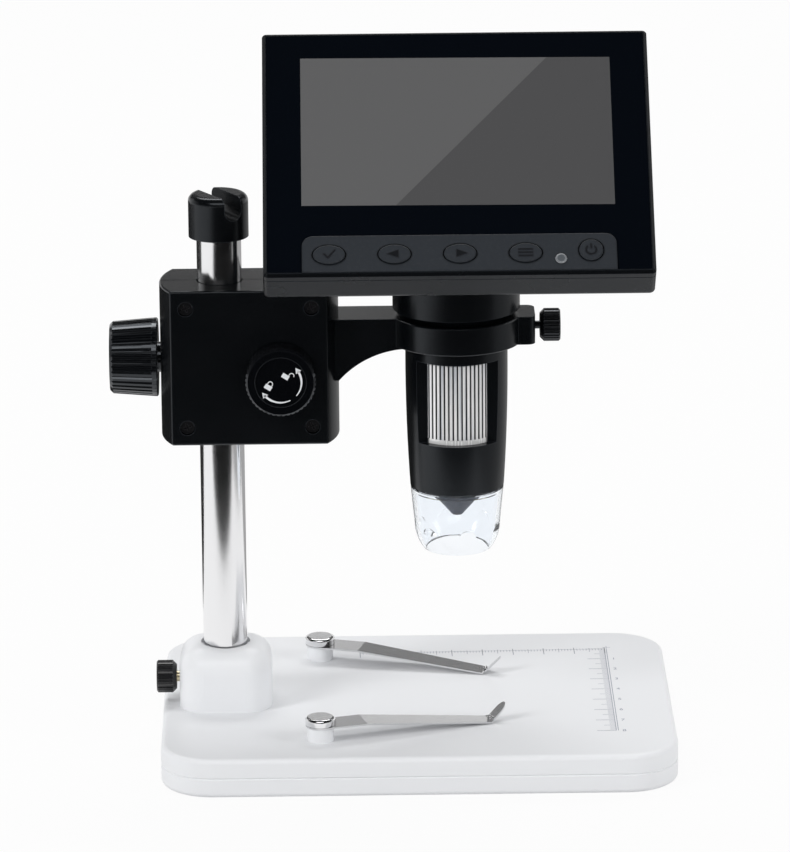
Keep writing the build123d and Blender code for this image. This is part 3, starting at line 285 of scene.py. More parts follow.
turned_lines = make_lines()
print("groups", [group.name for group in bpy.data.node_groups])


# %% Helpers for materials
def new_material(name, colour, roughness, metallic=0.0, specular=0.5):
    """Material with a Principled shader. Returns it with its tree and shader."""
    material = bpy.data.materials.new(name)
    material.use_nodes = True
    tree = material.node_tree
    shader = tree.nodes["Principled BSDF"]
    shader.inputs["Base Color"].default_value = (*colour, 1)
    shader.inputs["Roughness"].default_value = roughness
    shader.inputs["Metallic"].default_value = metallic
    shader.inputs["Specular IOR Level"].default_value = specular
    return material, tree, shader


def place_group(tree, group, **values):
    """Put a shared group into a material with its own numbers."""
    made = node(tree, "ShaderNodeGroup", node_tree=group)
    for title, value in values.items():
        made.inputs[title.replace("_", " ")].default_value = value
    return made


def mix_colour(tree, mask, first, second):
    """Colour between two, by a mask. Colours may be sockets or numbers."""
    made = node(tree, "ShaderNodeMix", data_type="RGBA")
    link(tree, mask, made.inputs["Factor"])
    for slot, value in (("A", first), ("B", second)):
        target = [s for s in made.inputs if s.name == slot and s.type == "RGBA"][0]
        if isinstance(value, tuple):
            target.default_value = (*value, 1)
        else:
            link(tree, value, target)
    return [s for s in made.outputs if s.type == "RGBA"][0]


def bump(tree, shader, height, strength, distance):
    """Wire a height to the shader's normal."""
    made = node(tree, "ShaderNodeBump")
    made.inputs["Strength"].default_value = strength
    made.inputs["Distance"].default_value = distance
    link(tree, height, made.inputs["Height"])
    link(tree, made.outputs[0], shader.inputs["Normal"])


# %% [markdown]
# ## Plastics
#
# The base is white ABS with a satin mould finish. Carriage, arm, tube and screen housing are black
# ABS of the same kind, and its gloss has a cool cast. The button panel is slate grey. One function
# makes them all: a colour, a second one painted on the edges as a highlight (as shade on the slate
# panel), and how dull and how shiny the face is.

# %% Plastics
plastic_grain = 2500.0
grain_strength = 0.35
grain_depth = 0.02 * MM
fine_depth = 0.004 * MM
edge_reach = 0.4 * MM
fine_reach = 0.3 * MM
wide_reach = 0.9 * MM
gloss_change = 0.05
dust_paler = 0.12


def moulded(
    name, colour, edge, roughness, specular, depth=grain_depth, dust=0.0, reach=edge_reach
):
    """Moulded plastic: grain, slightly uneven gloss, a painted highlight along the edges (painted shade
    where the edge colour is darker), a little dust.
    """
    material, tree, shader = new_material(name, colour, roughness, specular=specular)
    surface = place_group(tree, mould_grain, Grain_per_metre=plastic_grain)
    edges = place_group(tree, painted_edge_shading, Reach=reach)
    dusting = place_group(tree, settled_dust, Amount=dust)
    # Painted edge light: the second colour is painted along the edges, a painted highlight where it is
    # paler, painted shade where it is darker.
    tint = mix_colour(tree, edges.outputs["Mask"], colour, edge)
    dusty = tuple(min(1, c + dust_paler) for c in colour)
    tint = mix_colour(tree, dusting.outputs["Mask"], tint, dusty)
    link(tree, tint, shader.inputs["Base Color"])
    smooth, dull = roughness - gloss_change, roughness + gloss_change
    gloss = ramp(tree, surface.outputs["Patches"], 0.0, 1.0, smooth, dull)
    link(tree, gloss, shader.inputs["Roughness"])
    bump(tree, shader, surface.outputs["Height"], grain_strength, depth)
    return material


# Each second colour below is painted along the edges; the paler ones are painted highlights.
white_abs = moulded("white_abs", (0.82, 0.83, 0.85), (0.87, 0.88, 0.89), roughness=0.38, specular=0.4)
cool_black, cool_edge_highlight = (0.0022, 0.0028, 0.0036), (0.03, 0.034, 0.04)
black_abs = moulded("black_abs", cool_black, cool_edge_highlight, roughness=0.24, specular=0.42, dust=0.02)
black_case = moulded("black_case", cool_black, cool_edge_highlight, roughness=0.26, specular=0.22, dust=0.02)
black_knob = moulded(
    "black_knob", (0.0018, 0.0022, 0.003), (0.03, 0.032, 0.036),
    roughness=0.15, specular=0.6, depth=fine_depth, dust=0.02,
)
black_metal = moulded(
    "black_metal", (0.0022, 0.0024, 0.003), (0.04, 0.042, 0.046),
    roughness=0.24, specular=0.45, dust=0.02, reach=fine_reach,
)
# Painted shade: the slate's much darker edge colour, spread wide, paints dark outlines in the gaps
# round the keys.
slate = moulded(
    "slate_panel", (0.022, 0.026, 0.032), (0.003, 0.004, 0.005),
    roughness=0.42, specular=0.3, dust=0.1, reach=wide_reach,
)
cream_bush = moulded("cream_bush", (0.62, 0.58, 0.48), (0.66, 0.62, 0.52), roughness=0.5, specular=0.4)
soft_rubber = moulded(
    "soft_rubber", (0.02, 0.02, 0.021), (0.04, 0.04, 0.04), roughness=0.75, specular=0.2, dust=0.15
)
hood_black = moulded(
    "hood_black", (0.006, 0.014, 0.034), (0.03, 0.045, 0.07), roughness=0.45, specular=0.3, dust=0.05
)

# %% The cool cast of the black gloss
cool_gloss = (0.87, 0.93, 1.0)
for black in (black_abs, black_case, black_knob, black_metal):
    tone = black.node_tree.nodes["Principled BSDF"]
    tone.inputs["Specular Tint"].default_value = (*cool_gloss, 1)
print("plastics", [material.name for material in bpy.data.materials])

# %% [markdown]
# ## Metals
#
# The pole, the clip screws' caps and the clips are polished steel, and the pieces inside are plain
# steel and brass. A metal takes its whole look from what it mirrors, so its colour is pale and its
# finish is a low roughness, made uneven by the fine lines that drawing or turning left.

# %% Metals
line_strength = 0.3
line_change = 0.06


def metal(name, colour, roughness, across, lines):
    """Bare metal with fine machining lines."""
    material, tree, shader = new_material(name, colour, roughness, metallic=1.0)
    brushing = place_group(tree, turned_lines, Across=across, Lines_per_metre=lines)
    smooth, dull = roughness - line_change, roughness + line_change
    gloss = ramp(tree, brushing.outputs["Height"], 0.0, 1.0, smooth, dull)
    link(tree, gloss, shader.inputs["Roughness"])
    bump(tree, shader, brushing.outputs["Height"], line_strength, fine_depth)
    return material


round_z, along_x, even = (0.4, 0.4, 3.0), (0.08, 1.0, 1.0), (1.0, 1.0, 1.0)
polished_pole = metal("polished_pole", (0.86, 0.86, 0.87), 0.14, across=round_z, lines=2500.0)
polished_cap = metal("polished_cap", (0.84, 0.84, 0.85), 0.12, across=even, lines=900.0)
spring_steel = metal("spring_steel", (0.72, 0.72, 0.73), 0.2, across=along_x, lines=2500.0)
plain_steel = metal("plain_steel", (0.6, 0.6, 0.62), 0.3, across=even, lines=2000.0)
yellow_brass = metal("yellow_brass", (0.78, 0.6, 0.32), 0.3, across=even, lines=2000.0)
galvanised = metal("galvanised", (0.45, 0.46, 0.48), 0.45, across=even, lines=300.0)
dark_steel = moulded(
    "dark_steel", (0.004, 0.004, 0.005), (0.03, 0.03, 0.033), roughness=0.3, specular=0.3
)
print("materials so far", len(bpy.data.materials))

# %% [markdown]
# ## Ribbed aluminium and the brass screw
#
# Two finishes depend on how far a point lies from a turning axis. The focusing ring's ribs are
# bright, with streaks of painted reflection along them; its grooves get painted shade, and its upper
# rim is painted black as the shadow under the window's edge. The thumb screw's head is black, its
# shank is bare brass. One material with a measured border does this on a single solid, with no need
# to cut it in two.

# %% Finishes that follow an axis
def away_from(tree, axis, centre):
    """Distance of a surface point from a line along one axis, through a centre."""
    shifted = vector_maths(tree, "SUBTRACT", object_place(tree), centre)
    across = [0.0 if name == axis else 1.0 for name in "XYZ"]
    return vector_maths(tree, "LENGTH", vector_maths(tree, "MULTIPLY", shifted, across))


def between(tree, value, low, high):
    """1 where a value lies between two limits."""
    above = maths(tree, "GREATER_THAN", value, low)
    return maths(tree, "MULTIPLY", above, maths(tree, "LESS_THAN", value, high))


def make_ribbed(name, centre, foot, crest, reach):
    """Drawn aluminium: bright ribs with painted reflection streaks, painted shade in the grooves
    between two rims, and the upper rim painted black as a shadow.
    """
    # dark paints the shade of the grooves and the shadow on the upper rim; dull is the darker tone of
    # the painted reflection streaks.
    dull, bright, dark = (0.64, 0.67, 0.72), (1.0, 1.0, 1.0), (0.012, 0.014, 0.02)
    material, tree, shader = new_material(name, bright, 0.28, metallic=0.3)
    # Painted shade: the grooves darken towards their foot.
    groove_shade = ramp(tree, away_from(tree, "Z", centre), crest, foot)
    height = part(tree, object_place(tree), "Z")
    ribbed = between(tree, height, centre.z - reach, centre.z + reach)
    # Painted shadow: the upper rim is coloured black where the window's edge shades it.
    shaded = maths(tree, "GREATER_THAN", height, centre.z + reach)
    painted_shade = maths(tree, "MAXIMUM", maths(tree, "MULTIPLY", groove_shade, ribbed), shaded)
    # Painted reflection: streaks along the ribs shift the colour between dull and bright.
    reflection_streaks = place_group(tree, turned_lines, Across=(1.0, 1.0, 0.02), Lines_per_metre=1300.0)
    uneven = ramp(tree, reflection_streaks.outputs["Height"], 0.32, 0.5)
    plain = maths(tree, "MAXIMUM", uneven, maths(tree, "SUBTRACT", 1.0, ribbed))
    drawn = mix_colour(tree, plain, dull, bright)
    link(tree, mix_colour(tree, painted_shade, drawn, dark), shader.inputs["Base Color"])
    gloss = ramp(tree, reflection_streaks.outputs["Height"], 0.0, 1.0, 0.2, 0.32)
    link(tree, gloss, shader.inputs["Roughness"])
    return material


def make_capped_screw(name, axis, centre, shank):
    """Black head over a bare brass shank, with a painted highlight along the head's edges."""
    black, lit_edge_highlight, brass = (0.003, 0.003, 0.004), (0.06, 0.06, 0.065), (0.75, 0.66, 0.45)
    material, tree, shader = new_material(name, black, 0.28)
    bare = maths(tree, "LESS_THAN", away_from(tree, axis, centre), shank)
    edges = place_group(tree, painted_edge_shading, Reach=fine_reach)
    # Painted highlight: a paler grey painted along the head's edges.
    head = mix_colour(tree, edges.outputs["Mask"], black, lit_edge_highlight)
    link(tree, mix_colour(tree, bare, head, brass), shader.inputs["Base Color"])
    link(tree, bare, shader.inputs["Metallic"])
    surface = place_group(tree, mould_grain, Grain_per_metre=plastic_grain)
    bump(tree, shader, surface.outputs["Height"], grain_strength, grain_depth)
    return material


# %% The focusing ring and the base's thumb screw
ring_rim = 2.6 * MM
rib_foot = 0.2 * MM
rib_crest = 0.02 * MM
screw_shank = 2.3 * MM

ring_low, ring_high = corners("focusing_ring")
ring_radius = (ring_high.x - ring_low.x) / 2
rib_reach = (ring_high.z - ring_low.z) / 2 - ring_rim
bright_aluminium = make_ribbed(
    "bright_aluminium", middle("focusing_ring"),
    foot=ring_radius - rib_foot, crest=ring_radius - rib_crest, reach=rib_reach,
)
brass_thumb = make_capped_screw("brass_thumb", "X", middle("base_thumb_screw"), screw_shank)
print("ring radius", round(ring_radius, 5), "ribs reach", round(rib_reach, 5))

# %% [markdown]
# ## Clear pieces
#
# The cap round the lens is clear acrylic, and the lenses are coated glass. Light passes through
# both and bends on the way. The cap is a thin wall in a bright studio, so it bends light a little
# less here than a block of acrylic does, which keeps its rims as pale as they are. A faint
# waviness breaks up what shows in them.

# %% Clear pieces
def clear(name, tint, roughness, passing, bending, waves, strength, depth):
    """Clear solid: the share of light that passes, how it bends, and a faint waviness."""
    material, tree, shader = new_material(name, tint, roughness)
    shader.inputs["Transmission Weight"].default_value = passing
    shader.inputs["IOR"].default_value = bending
    surface = place_group(tree, mould_grain, Grain_per_metre=waves)
    bump(tree, shader, surface.outputs["Height"], strength, depth)
    return material


clear_acrylic = clear(
    "clear_acrylic", (0.945, 0.97, 1.0), roughness=0.05, passing=0.98, bending=1.3,
    waves=400.0, strength=0.15, depth=grain_depth,
)
lens_glass = clear(
    "lens_glass", (0.9, 0.94, 1.0), roughness=0.02, passing=1.0, bending=1.6,
    waves=200.0, strength=0.05, depth=0.01 * MM,
)
print("clear", clear_acrylic.name, lens_glass.name)

# %% [markdown]
# ## Lamps, boards and films
#
# The indicator lamp is a dark lens while it is off, with a painted highlight for its pale rim. The
# boards, the ribbon and the battery are inside, and show only when the case is open. They are
# glossy, and free of dust.

# %% Lamps, boards and films
led_resin = moulded("led_resin", (0.85, 0.8, 0.55), (0.95, 0.92, 0.8), roughness=0.2, specular=0.5)
# Painted highlight: the near-white edge colour paints the lens's pale rim.
lamp_lens = moulded(
    "lamp_lens", (0.09, 0.1, 0.11), (0.9, 0.92, 0.95), roughness=0.12, specular=0.5, reach=wide_reach
)
board_green = moulded("board_green", (0.01, 0.07, 0.03), (0.3, 0.25, 0.1), roughness=0.35, specular=0.5)
ribbon_film = moulded("ribbon_film", (0.35, 0.2, 0.05), (0.4, 0.25, 0.1), roughness=0.3, specular=0.5)
cell_wrap = moulded("cell_wrap", (0.05, 0.12, 0.3), (0.2, 0.3, 0.5), roughness=0.3, specular=0.5)
panel_grey = moulded("panel_grey", (0.1, 0.1, 0.1), (0.2, 0.2, 0.2), roughness=0.3, specular=0.5)
print("materials so far", len(bpy.data.materials))

# %% [markdown]
# ## The screen
#
# One sheet of black-backed glass covers the front. Behind its clear window the unlit panel looks
# grey, and its upper left half is painted a lighter grey than its lower right: a painted reflection
# of glare on the glass, with a slanted edge. The pattern is laid in the plane of the glass: a
# point's way across and its way up the slope are real lengths there. The panel sits a third of a
# degree askew behind the glass, as such panels do.

# %% The screen
face_slope = math.radians(44.0)
face_middle = Vector((tube_middle.x, -20.0 * MM, 202.8 * MM))
uphill = Vector((0, math.cos(face_slope), math.sin(face_slope)))
window_half_width = 47.95 * MM
window_half_height = 26.8 * MM
window_lean = 0.006
glare_split_start = 4.7 * MM
glare_split_slope = 0.89


def flat_face(tree):
    """How far across and how far up the slanted face a surface point lies."""
    shifted = vector_maths(tree, "SUBTRACT", object_place(tree), face_middle)
    return part(tree, shifted, "X"), vector_maths(tree, "DOT_PRODUCT", shifted, uphill)


def make_screen_glass():
    """Black-backed glass with the unlit panel behind its window, and a painted reflection that lightens
    the window's upper left half.
    """
    backing = (0.002, 0.003, 0.005)
    glare_grey, lower_grey = (0.112, 0.112, 0.114), (0.075, 0.075, 0.077)
    material, tree, shader = new_material("screen_glass", backing, 0.06, specular=0.3)
    x, y = flat_face(tree)
    inside_x = maths(tree, "LESS_THAN", maths(tree, "ABSOLUTE", x), window_half_width)
    leaning_y = maths(tree, "MULTIPLY_ADD", x, window_lean, y)
    inside_y = maths(tree, "LESS_THAN", maths(tree, "ABSOLUTE", leaning_y), window_half_height)
    window = maths(tree, "MULTIPLY", inside_x, inside_y)
    # Painted reflection: left of a slanted line the window is painted a lighter grey, as glare on the
    # glass.
    split = maths(tree, "SUBTRACT", x, maths(tree, "MULTIPLY", y, glare_split_slope))
    lower = maths(tree, "GREATER_THAN", split, glare_split_start)
    glare_greys = mix_colour(tree, lower, glare_grey, lower_grey)
    link(tree, mix_colour(tree, window, backing, glare_greys), shader.inputs["Base Color"])
    surface = place_group(tree, mould_grain, Grain_per_metre=60.0)
    gloss = ramp(tree, surface.outputs["Patches"], 0.0, 1.0, 0.04, 0.1)
    link(tree, gloss, shader.inputs["Roughness"])
    return material


screen_glass = make_screen_glass()
print("screen window", 2 * window_half_width, "by", 2 * window_half_height)

# %% [markdown]
# ## Which piece gets which finish
#
# Each finish lists the model's pieces that wear it. The list is checked against the model, so that
# no piece is forgotten.

# %% Finishes of the model's pieces
finishes = {
    white_abs: "base_upper_shell base_lower_shell clip_posts",
    soft_rubber: "base_pads focus_roller",
    galvanised: "ballast_plate",
    polished_pole: "pole",
    polished_cap: "clip_screws",
    spring_steel: "clip_rear clip_front",
    black_metal: "ring_thumb_screw",
    brass_thumb: "base_thumb_screw",
    black_abs: "pole_cap block_front_shell block_rear_shell arm neck tube_shell",
    black_case: "front_bezel rear_housing",
    black_knob: "focus_knob lock_knob",
    cream_bush: "pole_bushes shaft_bush brake_pad",
    plain_steel: "focus_shaft usb_socket card_slot",
    dark_steel: "base_screws block_screws housing_screws",
    yellow_brass: "lock_stud lock_insert",
    bright_aluminium: "focusing_ring",
    hood_black: "lens_carriage lens_hood",
    lens_glass: "lenses",
    clear_acrylic: "clear_cap",
    board_green: "sensor_board led_board main_board button_board",
    led_resin: "leds",
    lamp_lens: "indicator_lens",
    slate: "button_panel button_ok button_left button_right button_menu button_power",
    screen_glass: "display_glass",
    panel_grey: "lcd_panel",
    cell_wrap: "battery",
    ribbon_film: "camera_ribbon",
}
finished = []
for material, names in finishes.items():
    for name in names.split():
        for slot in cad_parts[name].material_slots:
            slot.material = material
        finished.append(name)
print("finished", len(finished), "pieces, left over", set(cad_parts) - set(finished))

# %% [markdown]
# ## Helpers for modelling
#
# Operators act on whatever is selected, so each piece is selected on its own first. A finished
# piece has its place in its mesh, like the model's own pieces.

# %% Helpers for modelling
def only(piece):
    """Select one object and nothing else."""
    bpy.ops.object.select_all(action="DESELECT")
    piece.select_set(True)
    bpy.context.view_layer.objects.active = piece


def settle(piece):
    """Put a piece's place, turn and size into its mesh."""
    only(piece)
    bpy.ops.object.transform_apply(location=True, rotation=True, scale=True)


def join(pieces, name):
    """Make one piece of several."""
    bpy.ops.object.select_all(action="DESELECT")
    for piece in pieces:
        piece.select_set(True)
    bpy.context.view_layer.objects.active = pieces[0]
    if len(pieces) > 1:
        bpy.ops.object.join()
    pieces[0].name = name
    return pieces[0]


def raise_faces(piece, height):
    """Give flat shapes a thickness along their own Z."""
    only(piece)
    bpy.ops.object.mode_set(mode="EDIT")
    bpy.ops.mesh.select_all(action="SELECT")
    bpy.ops.mesh.extrude_region_move(TRANSFORM_OT_translate={"value": (0, 0, height)})
    bpy.ops.mesh.select_all(action="SELECT")
    bpy.ops.mesh.normals_make_consistent(inside=False)
    bpy.ops.object.mode_set(mode="OBJECT")


def paint(piece, material):
    """Give a new piece one material all over."""
    piece.data.materials.clear()
    piece.data.materials.append(material)


# %% [markdown]
# ## Ink and marks
#
# What is printed or embossed on the pieces is laid on as very thin raised shapes. A print keeps
# its edges sharp at any distance that way, and needs no picture file. Each starts as flat strokes.

# %% Inks
ruler_ink = moulded("ruler_ink", (0.32, 0.33, 0.4), (0.36, 0.37, 0.44), roughness=0.5, specular=0.2)
white_ink = moulded("white_ink", (0.72, 0.74, 0.76), (0.8, 0.8, 0.82), roughness=0.5, specular=0.3)
# Painted shade: the key signs are embossed in the keys' own material; their darker colour stands in for
# the embossing's shade, with a painted highlight on their edges.
shaded_key_sign = moulded("shaded_key_sign", (0.006, 0.007, 0.009), (0.02, 0.02, 0.024), roughness=0.35, specular=0.3)
ink_thickness = 0.03 * MM


def stroke(across, along, place, turned=0.0):
    """Flat printed stroke of a width and a length, centred on a place and turned about Z."""
    bpy.ops.object.select_all(action="DESELECT")
    bpy.ops.mesh.primitive_plane_add(size=1, location=place, rotation=(0, 0, turned))
    line = bpy.context.object
    line.scale = (across, along, 1)
    settle(line)
    return line


def repeat(line, step, count):
    """Row of equal strokes, a fixed step apart."""
    only(line)
    row = line.modifiers.new("row", "ARRAY")
    row.use_relative_offset = False
    row.use_constant_offset = True
    row.constant_offset_displace = step
    row.count = count
    bpy.ops.object.modifier_apply(modifier="row")
    return line


# %% [markdown]
# ## The ruler on the base
#
# Two scales meet at a corner behind the specimen, so that a find can be measured on the spot. One
# runs along X, the other towards the user, with a mark at each millimetre, a longer one at each
# five, and the longest at each ten. Numbers count the centimetres of the second scale. A row of
# marks is one stroke, repeated by an array.

# %% The ruler's sizes
ruler_corner = Vector((62.0 * MM, 43.0 * MM, stage_top))
ruler_length = 80 * MM
ruler_lean = math.radians(1.2)
centimetre = 10 * MM
thick_line = 0.22 * MM
middle_line = 0.16 * MM
thin_line = 0.14 * MM
pair_gap = 0.65 * MM
long_mark = 6.0 * MM
middle_mark = 3.6 * MM
short_mark = 1.8 * MM
mark_overhang = 1.6 * MM
cross_length = 2.6 * MM
cross_lift = 1.4 * MM
number_height = 2.6 * MM
number_gap = 1.9 * MM
print("ruler corner at", ruler_corner)


# %% The ruler's marks
def scale_marks(direction):
    """Millimetre, five and ten millimetre marks of the scale that runs along -X or -Y."""
    marks = []
    for length, step, width in (
        (short_mark, 1 * MM, thin_line),
        (middle_mark, 5 * MM, middle_line),
        (long_mark, centimetre, thick_line),
    ):
        count = round(ruler_length / step) + 1
        if direction == "X":
            overhang = mark_overhang * length / long_mark
            first = stroke(width, length, (0, overhang - length / 2, 0))
            marks.append(repeat(first, (-step, 0, 0), count))
        else:
            first = stroke(length, width, (-length / 2, 0, 0))
            marks.append(repeat(first, (0, -step, 0), count))
    return marks


# %% The ruler's numbers
def scale_number(count):
    """Number beside one of the second scale's centimetres."""
    bpy.ops.object.select_all(action="DESELECT")
    down = -count * centimetre - number_height / 3
    bpy.ops.object.text_add(location=(number_gap, down, 0))
    number = bpy.context.object
    number.data.body = str(count)
    number.data.size = number_height
    only(number)
    bpy.ops.object.convert(target="MESH")
    settle(number)
    return number


# %% Both scales
def make_ruler():
    """Both scales, flat on the stage."""
    first_scale = scale_marks("X")
    first_scale.append(stroke(ruler_length, middle_line, (-ruler_length / 2, 0, 0)))
    leaning = join(first_scale, "ruler_x")
    leaning.rotation_euler.z = ruler_lean
    settle(leaning)
    pieces = [leaning] + scale_marks("Y")
    for shift in (0, pair_gap):
        pieces.append(stroke(thick_line, ruler_length, (shift, -ruler_length / 2, 0)))
    pieces.append(stroke(cross_length, thin_line, (pair_gap, cross_lift, 0)))
    pieces.append(stroke(thin_line, cross_length, (pair_gap, cross_lift, 0)))
    for count in range(1, round(ruler_length / centimetre) + 1):
        pieces.append(scale_number(count))
    ruler = join(pieces, "ruler_print")
    ruler.location = ruler_corner
    settle(ruler)
    raise_faces(ruler, ink_thickness)
    paint(ruler, ruler_ink)
    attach(ruler, "base")
    return ruler


ruler = make_ruler()
print("ruler faces", len(ruler.data.polygons))

# %% [markdown]
# ## Marks on the keys
#
# Each key under the screen carries a small embossed sign: a tick, two arrow heads, three bars for
# the menu, and the power sign. They are drawn flat, raised, and then set on the slanted face.

# %% Setting a sign on a key
key_top = 0.65 * MM
sign_height = 0.14 * MM
sign_sunk = 0.02 * MM
sign_width = 0.55 * MM
face_turn = Matrix.Translation(face_middle) @ Matrix.Rotation(face_slope, 4, "X")


def on_face(point, height):
    """Frame of a place on the slanted face under a point, lifted off it by a height."""
    back = point - face_middle
    return face_turn @ Matrix.Translation((back.x, back.dot(uphill), height))


def set_on_key(pieces, key, body):
    """Join a sign's strokes, raise them and put them on a key's top."""
    sign = join(pieces, key + "_sign")
    raise_faces(sign, sign_height)
    sign.matrix_world = on_face(middle(key), key_top - sign_sunk)
    settle(sign)
    # The sign is coloured darker than the key, as painted shade.
    paint(sign, shaded_key_sign)
    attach(sign, body)
    print(sign.name, "faces", len(sign.data.polygons))


# %% Flat shapes for the signs
def triangle(radius, place=(0, 0, 0), turned=0.0):
    """Flat triangle round a place, its first corner turned from Y."""
    bpy.ops.object.select_all(action="DESELECT")
    bpy.ops.mesh.primitive_circle_add(vertices=3, radius=radius, fill_type="NGON", location=place)
    head = bpy.context.object
    head.rotation_euler.z = turned
    settle(head)
    return head


def flat_ring(inner, outer, sides):
    """Flat ring between two radii, round the origin."""
    bpy.ops.object.select_all(action="DESELECT")
    bpy.ops.mesh.primitive_circle_add(vertices=sides, radius=inner)
    ring = bpy.context.object
    bpy.ops.object.mode_set(mode="EDIT")
    bpy.ops.mesh.select_all(action="SELECT")
    bpy.ops.mesh.extrude_edges_move()
    bpy.ops.transform.resize(value=(outer / inner, outer / inner, 1))
    bpy.ops.mesh.select_all(action="DESELECT")
    bpy.ops.object.mode_set(mode="OBJECT")
    return ring


def drop_corners(piece, unwanted):
    """Delete the corners of a flat shape whose places a test picks."""
    for corner in piece.data.vertices:
        corner.select = unwanted(corner.co)
    bpy.ops.object.mode_set(mode="EDIT")
    bpy.ops.mesh.delete(type="VERT")
    bpy.ops.object.mode_set(mode="OBJECT")


# %% Signs for the keys
tick_short = 1.9 * MM
tick_long = 3.7 * MM
arrow_size = 2.1 * MM
arrow_stretch = 1.15
arrow_squeeze = 0.8
bar_length = 4.6 * MM
bar_step = 1.15 * MM
power_radius = 1.55 * MM
power_gap = 0.75 * MM
power_bar = 1.8 * MM
power_bar_height = 1.3 * MM


def arrow_sign(pointing):
    """Flat triangle whose tip points along X, or along -X."""
    head = triangle(arrow_size, turned=-pointing * math.pi / 2)
    head.scale = (arrow_stretch, arrow_squeeze, 1)
    settle(head)
    return head


tick = [
    stroke(sign_width, tick_short, (-1.05 * MM, -0.35 * MM, 0), math.radians(45)),
    stroke(sign_width, tick_long, (0.75 * MM, 0.25 * MM, 0), math.radians(-38)),
]
set_on_key(tick, "button_ok", "ok_key")
set_on_key([arrow_sign(-1)], "button_left", "left_key")
set_on_key([arrow_sign(1)], "button_right", "right_key")
bars = [stroke(bar_length, sign_width, (0, row * bar_step, 0)) for row in (-1, 0, 1)]
set_on_key(bars, "button_menu", "menu_key")
power_ring = flat_ring(power_radius - sign_width / 2, power_radius + sign_width / 2, 36)
drop_corners(power_ring, lambda place: abs(place.x) < power_gap and place.y > 0)
power = [power_ring, stroke(sign_width, power_bar, (0, power_bar_height, 0))]
set_on_key(power, "button_power", "power_key")

# %% [markdown]
# ## The ring round the indicator lamp
#
# A small bright ring frames the lamp beside the power key. It is a torus, pressed flat and sunk
# half into the panel.

# %% The indicator's ring
lamp_ring = moulded("lamp_ring", (0.62, 0.64, 0.68), (0.75, 0.77, 0.8), roughness=0.25, specular=0.5)
ring_wire = 0.3 * MM
ring_flatness = 0.6
lamp_low, lamp_high = corners("indicator_lens")
lamp_radius = (lamp_high.x - lamp_low.x) / 2
bpy.ops.object.select_all(action="DESELECT")
bpy.ops.mesh.primitive_torus_add(
    major_segments=48, minor_segments=12, major_radius=lamp_radius - ring_wire, minor_radius=ring_wire
)
indicator_ring = bpy.context.object
indicator_ring.name = "indicator_ring"
indicator_ring.scale = (1, 1, ring_flatness)
settle(indicator_ring)
indicator_ring.matrix_world = on_face(middle("indicator_lens"), ring_wire)
settle(indicator_ring)
bpy.ops.object.shade_smooth()
paint(indicator_ring, lamp_ring)
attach(indicator_ring, "head")
print("indicator ring", lamp_radius)

# %% [markdown]
# ## Arrows on the lock knob
#
# Two white arrows run round the knob's face and show which way it locks and which way it frees the
# carriage. A small closed padlock and an open one stand where each arrow leads. An arrow is a ring
# with its unwanted corners deleted, and its width grows from tail to tip.

# %% Arrows round the knob
arrow_radius = 6.5 * MM
arrow_width = 0.75 * MM
tail_width = 0.3 * MM
arrow_sides = 120
arrow_head_radius = 1.15 * MM


def round_arrow(tail, tip):
    """Flat arrow along an arc, from one angle to another in degrees, its tail thinner."""
    arc = flat_ring(arrow_radius, arrow_radius + arrow_width, arrow_sides)
    low, high = min(tail, tip), max(tail, tip)

    def angle(place):
        """Angle of a place round the knob, in degrees."""
        return math.degrees(math.atan2(place.y, place.x))

    drop_corners(arc, lambda place: not low <= angle(place) <= high)
    for corner in arc.data.vertices:
        share = min(1, max(0, (angle(corner.co) - tail) / (tip - tail)))
        width = tail_width + (arrow_width - tail_width) * share
        outside = corner.co.length > arrow_radius + arrow_width / 2
        shift = width / 2 if outside else -width / 2
        corner.co = corner.co.normalized() * (arrow_radius + shift)
    at = math.radians(tip)
    place = (arrow_radius * math.cos(at), arrow_radius * math.sin(at), 0)
    head = triangle(arrow_head_radius, place, at if tip > tail else at + math.pi)
    return [arc, head]


# %% Padlocks
lock_width = 2.3 * MM
lock_height = 1.5 * MM
bow_radius = 0.75 * MM
bow_width = 0.26 * MM
bow_height = 1.25 * MM
leg_length = 0.7 * MM
leg_height = 0.95 * MM


def padlock(place, turned, lift):
    """Small flat padlock, its bow swung aside when it is open."""
    body = stroke(lock_width, lock_height, (0, 0, 0))
    bow = flat_ring(bow_radius - bow_width / 2, bow_radius + bow_width / 2, 24)
    only(bow)
    bpy.ops.object.mode_set(mode="EDIT")
    bpy.ops.mesh.select_all(action="SELECT")
    bpy.ops.mesh.bisect(plane_co=(0, 0, 0), plane_no=(0, 1, 0), clear_inner=True)
    bpy.ops.object.mode_set(mode="OBJECT")
    bow.location = (lift, bow_height, 0)
    settle(bow)
    legs = [stroke(bow_width, leg_length, (lift - bow_radius, leg_height, 0))]
    if lift == 0:
        legs.append(stroke(bow_width, leg_length, (bow_radius, leg_height, 0)))
    lock = join([body, bow] + legs, "padlock")
    lock.location = place
    lock.rotation_euler.z = turned
    settle(lock)
    return lock


# %% The lock knob's marks
knob_step = 0.3 * MM
lock_tilt = math.radians(-32)
knob_middle = middle("lock_knob")
knob_face = corners("lock_knob")[0].y + knob_step

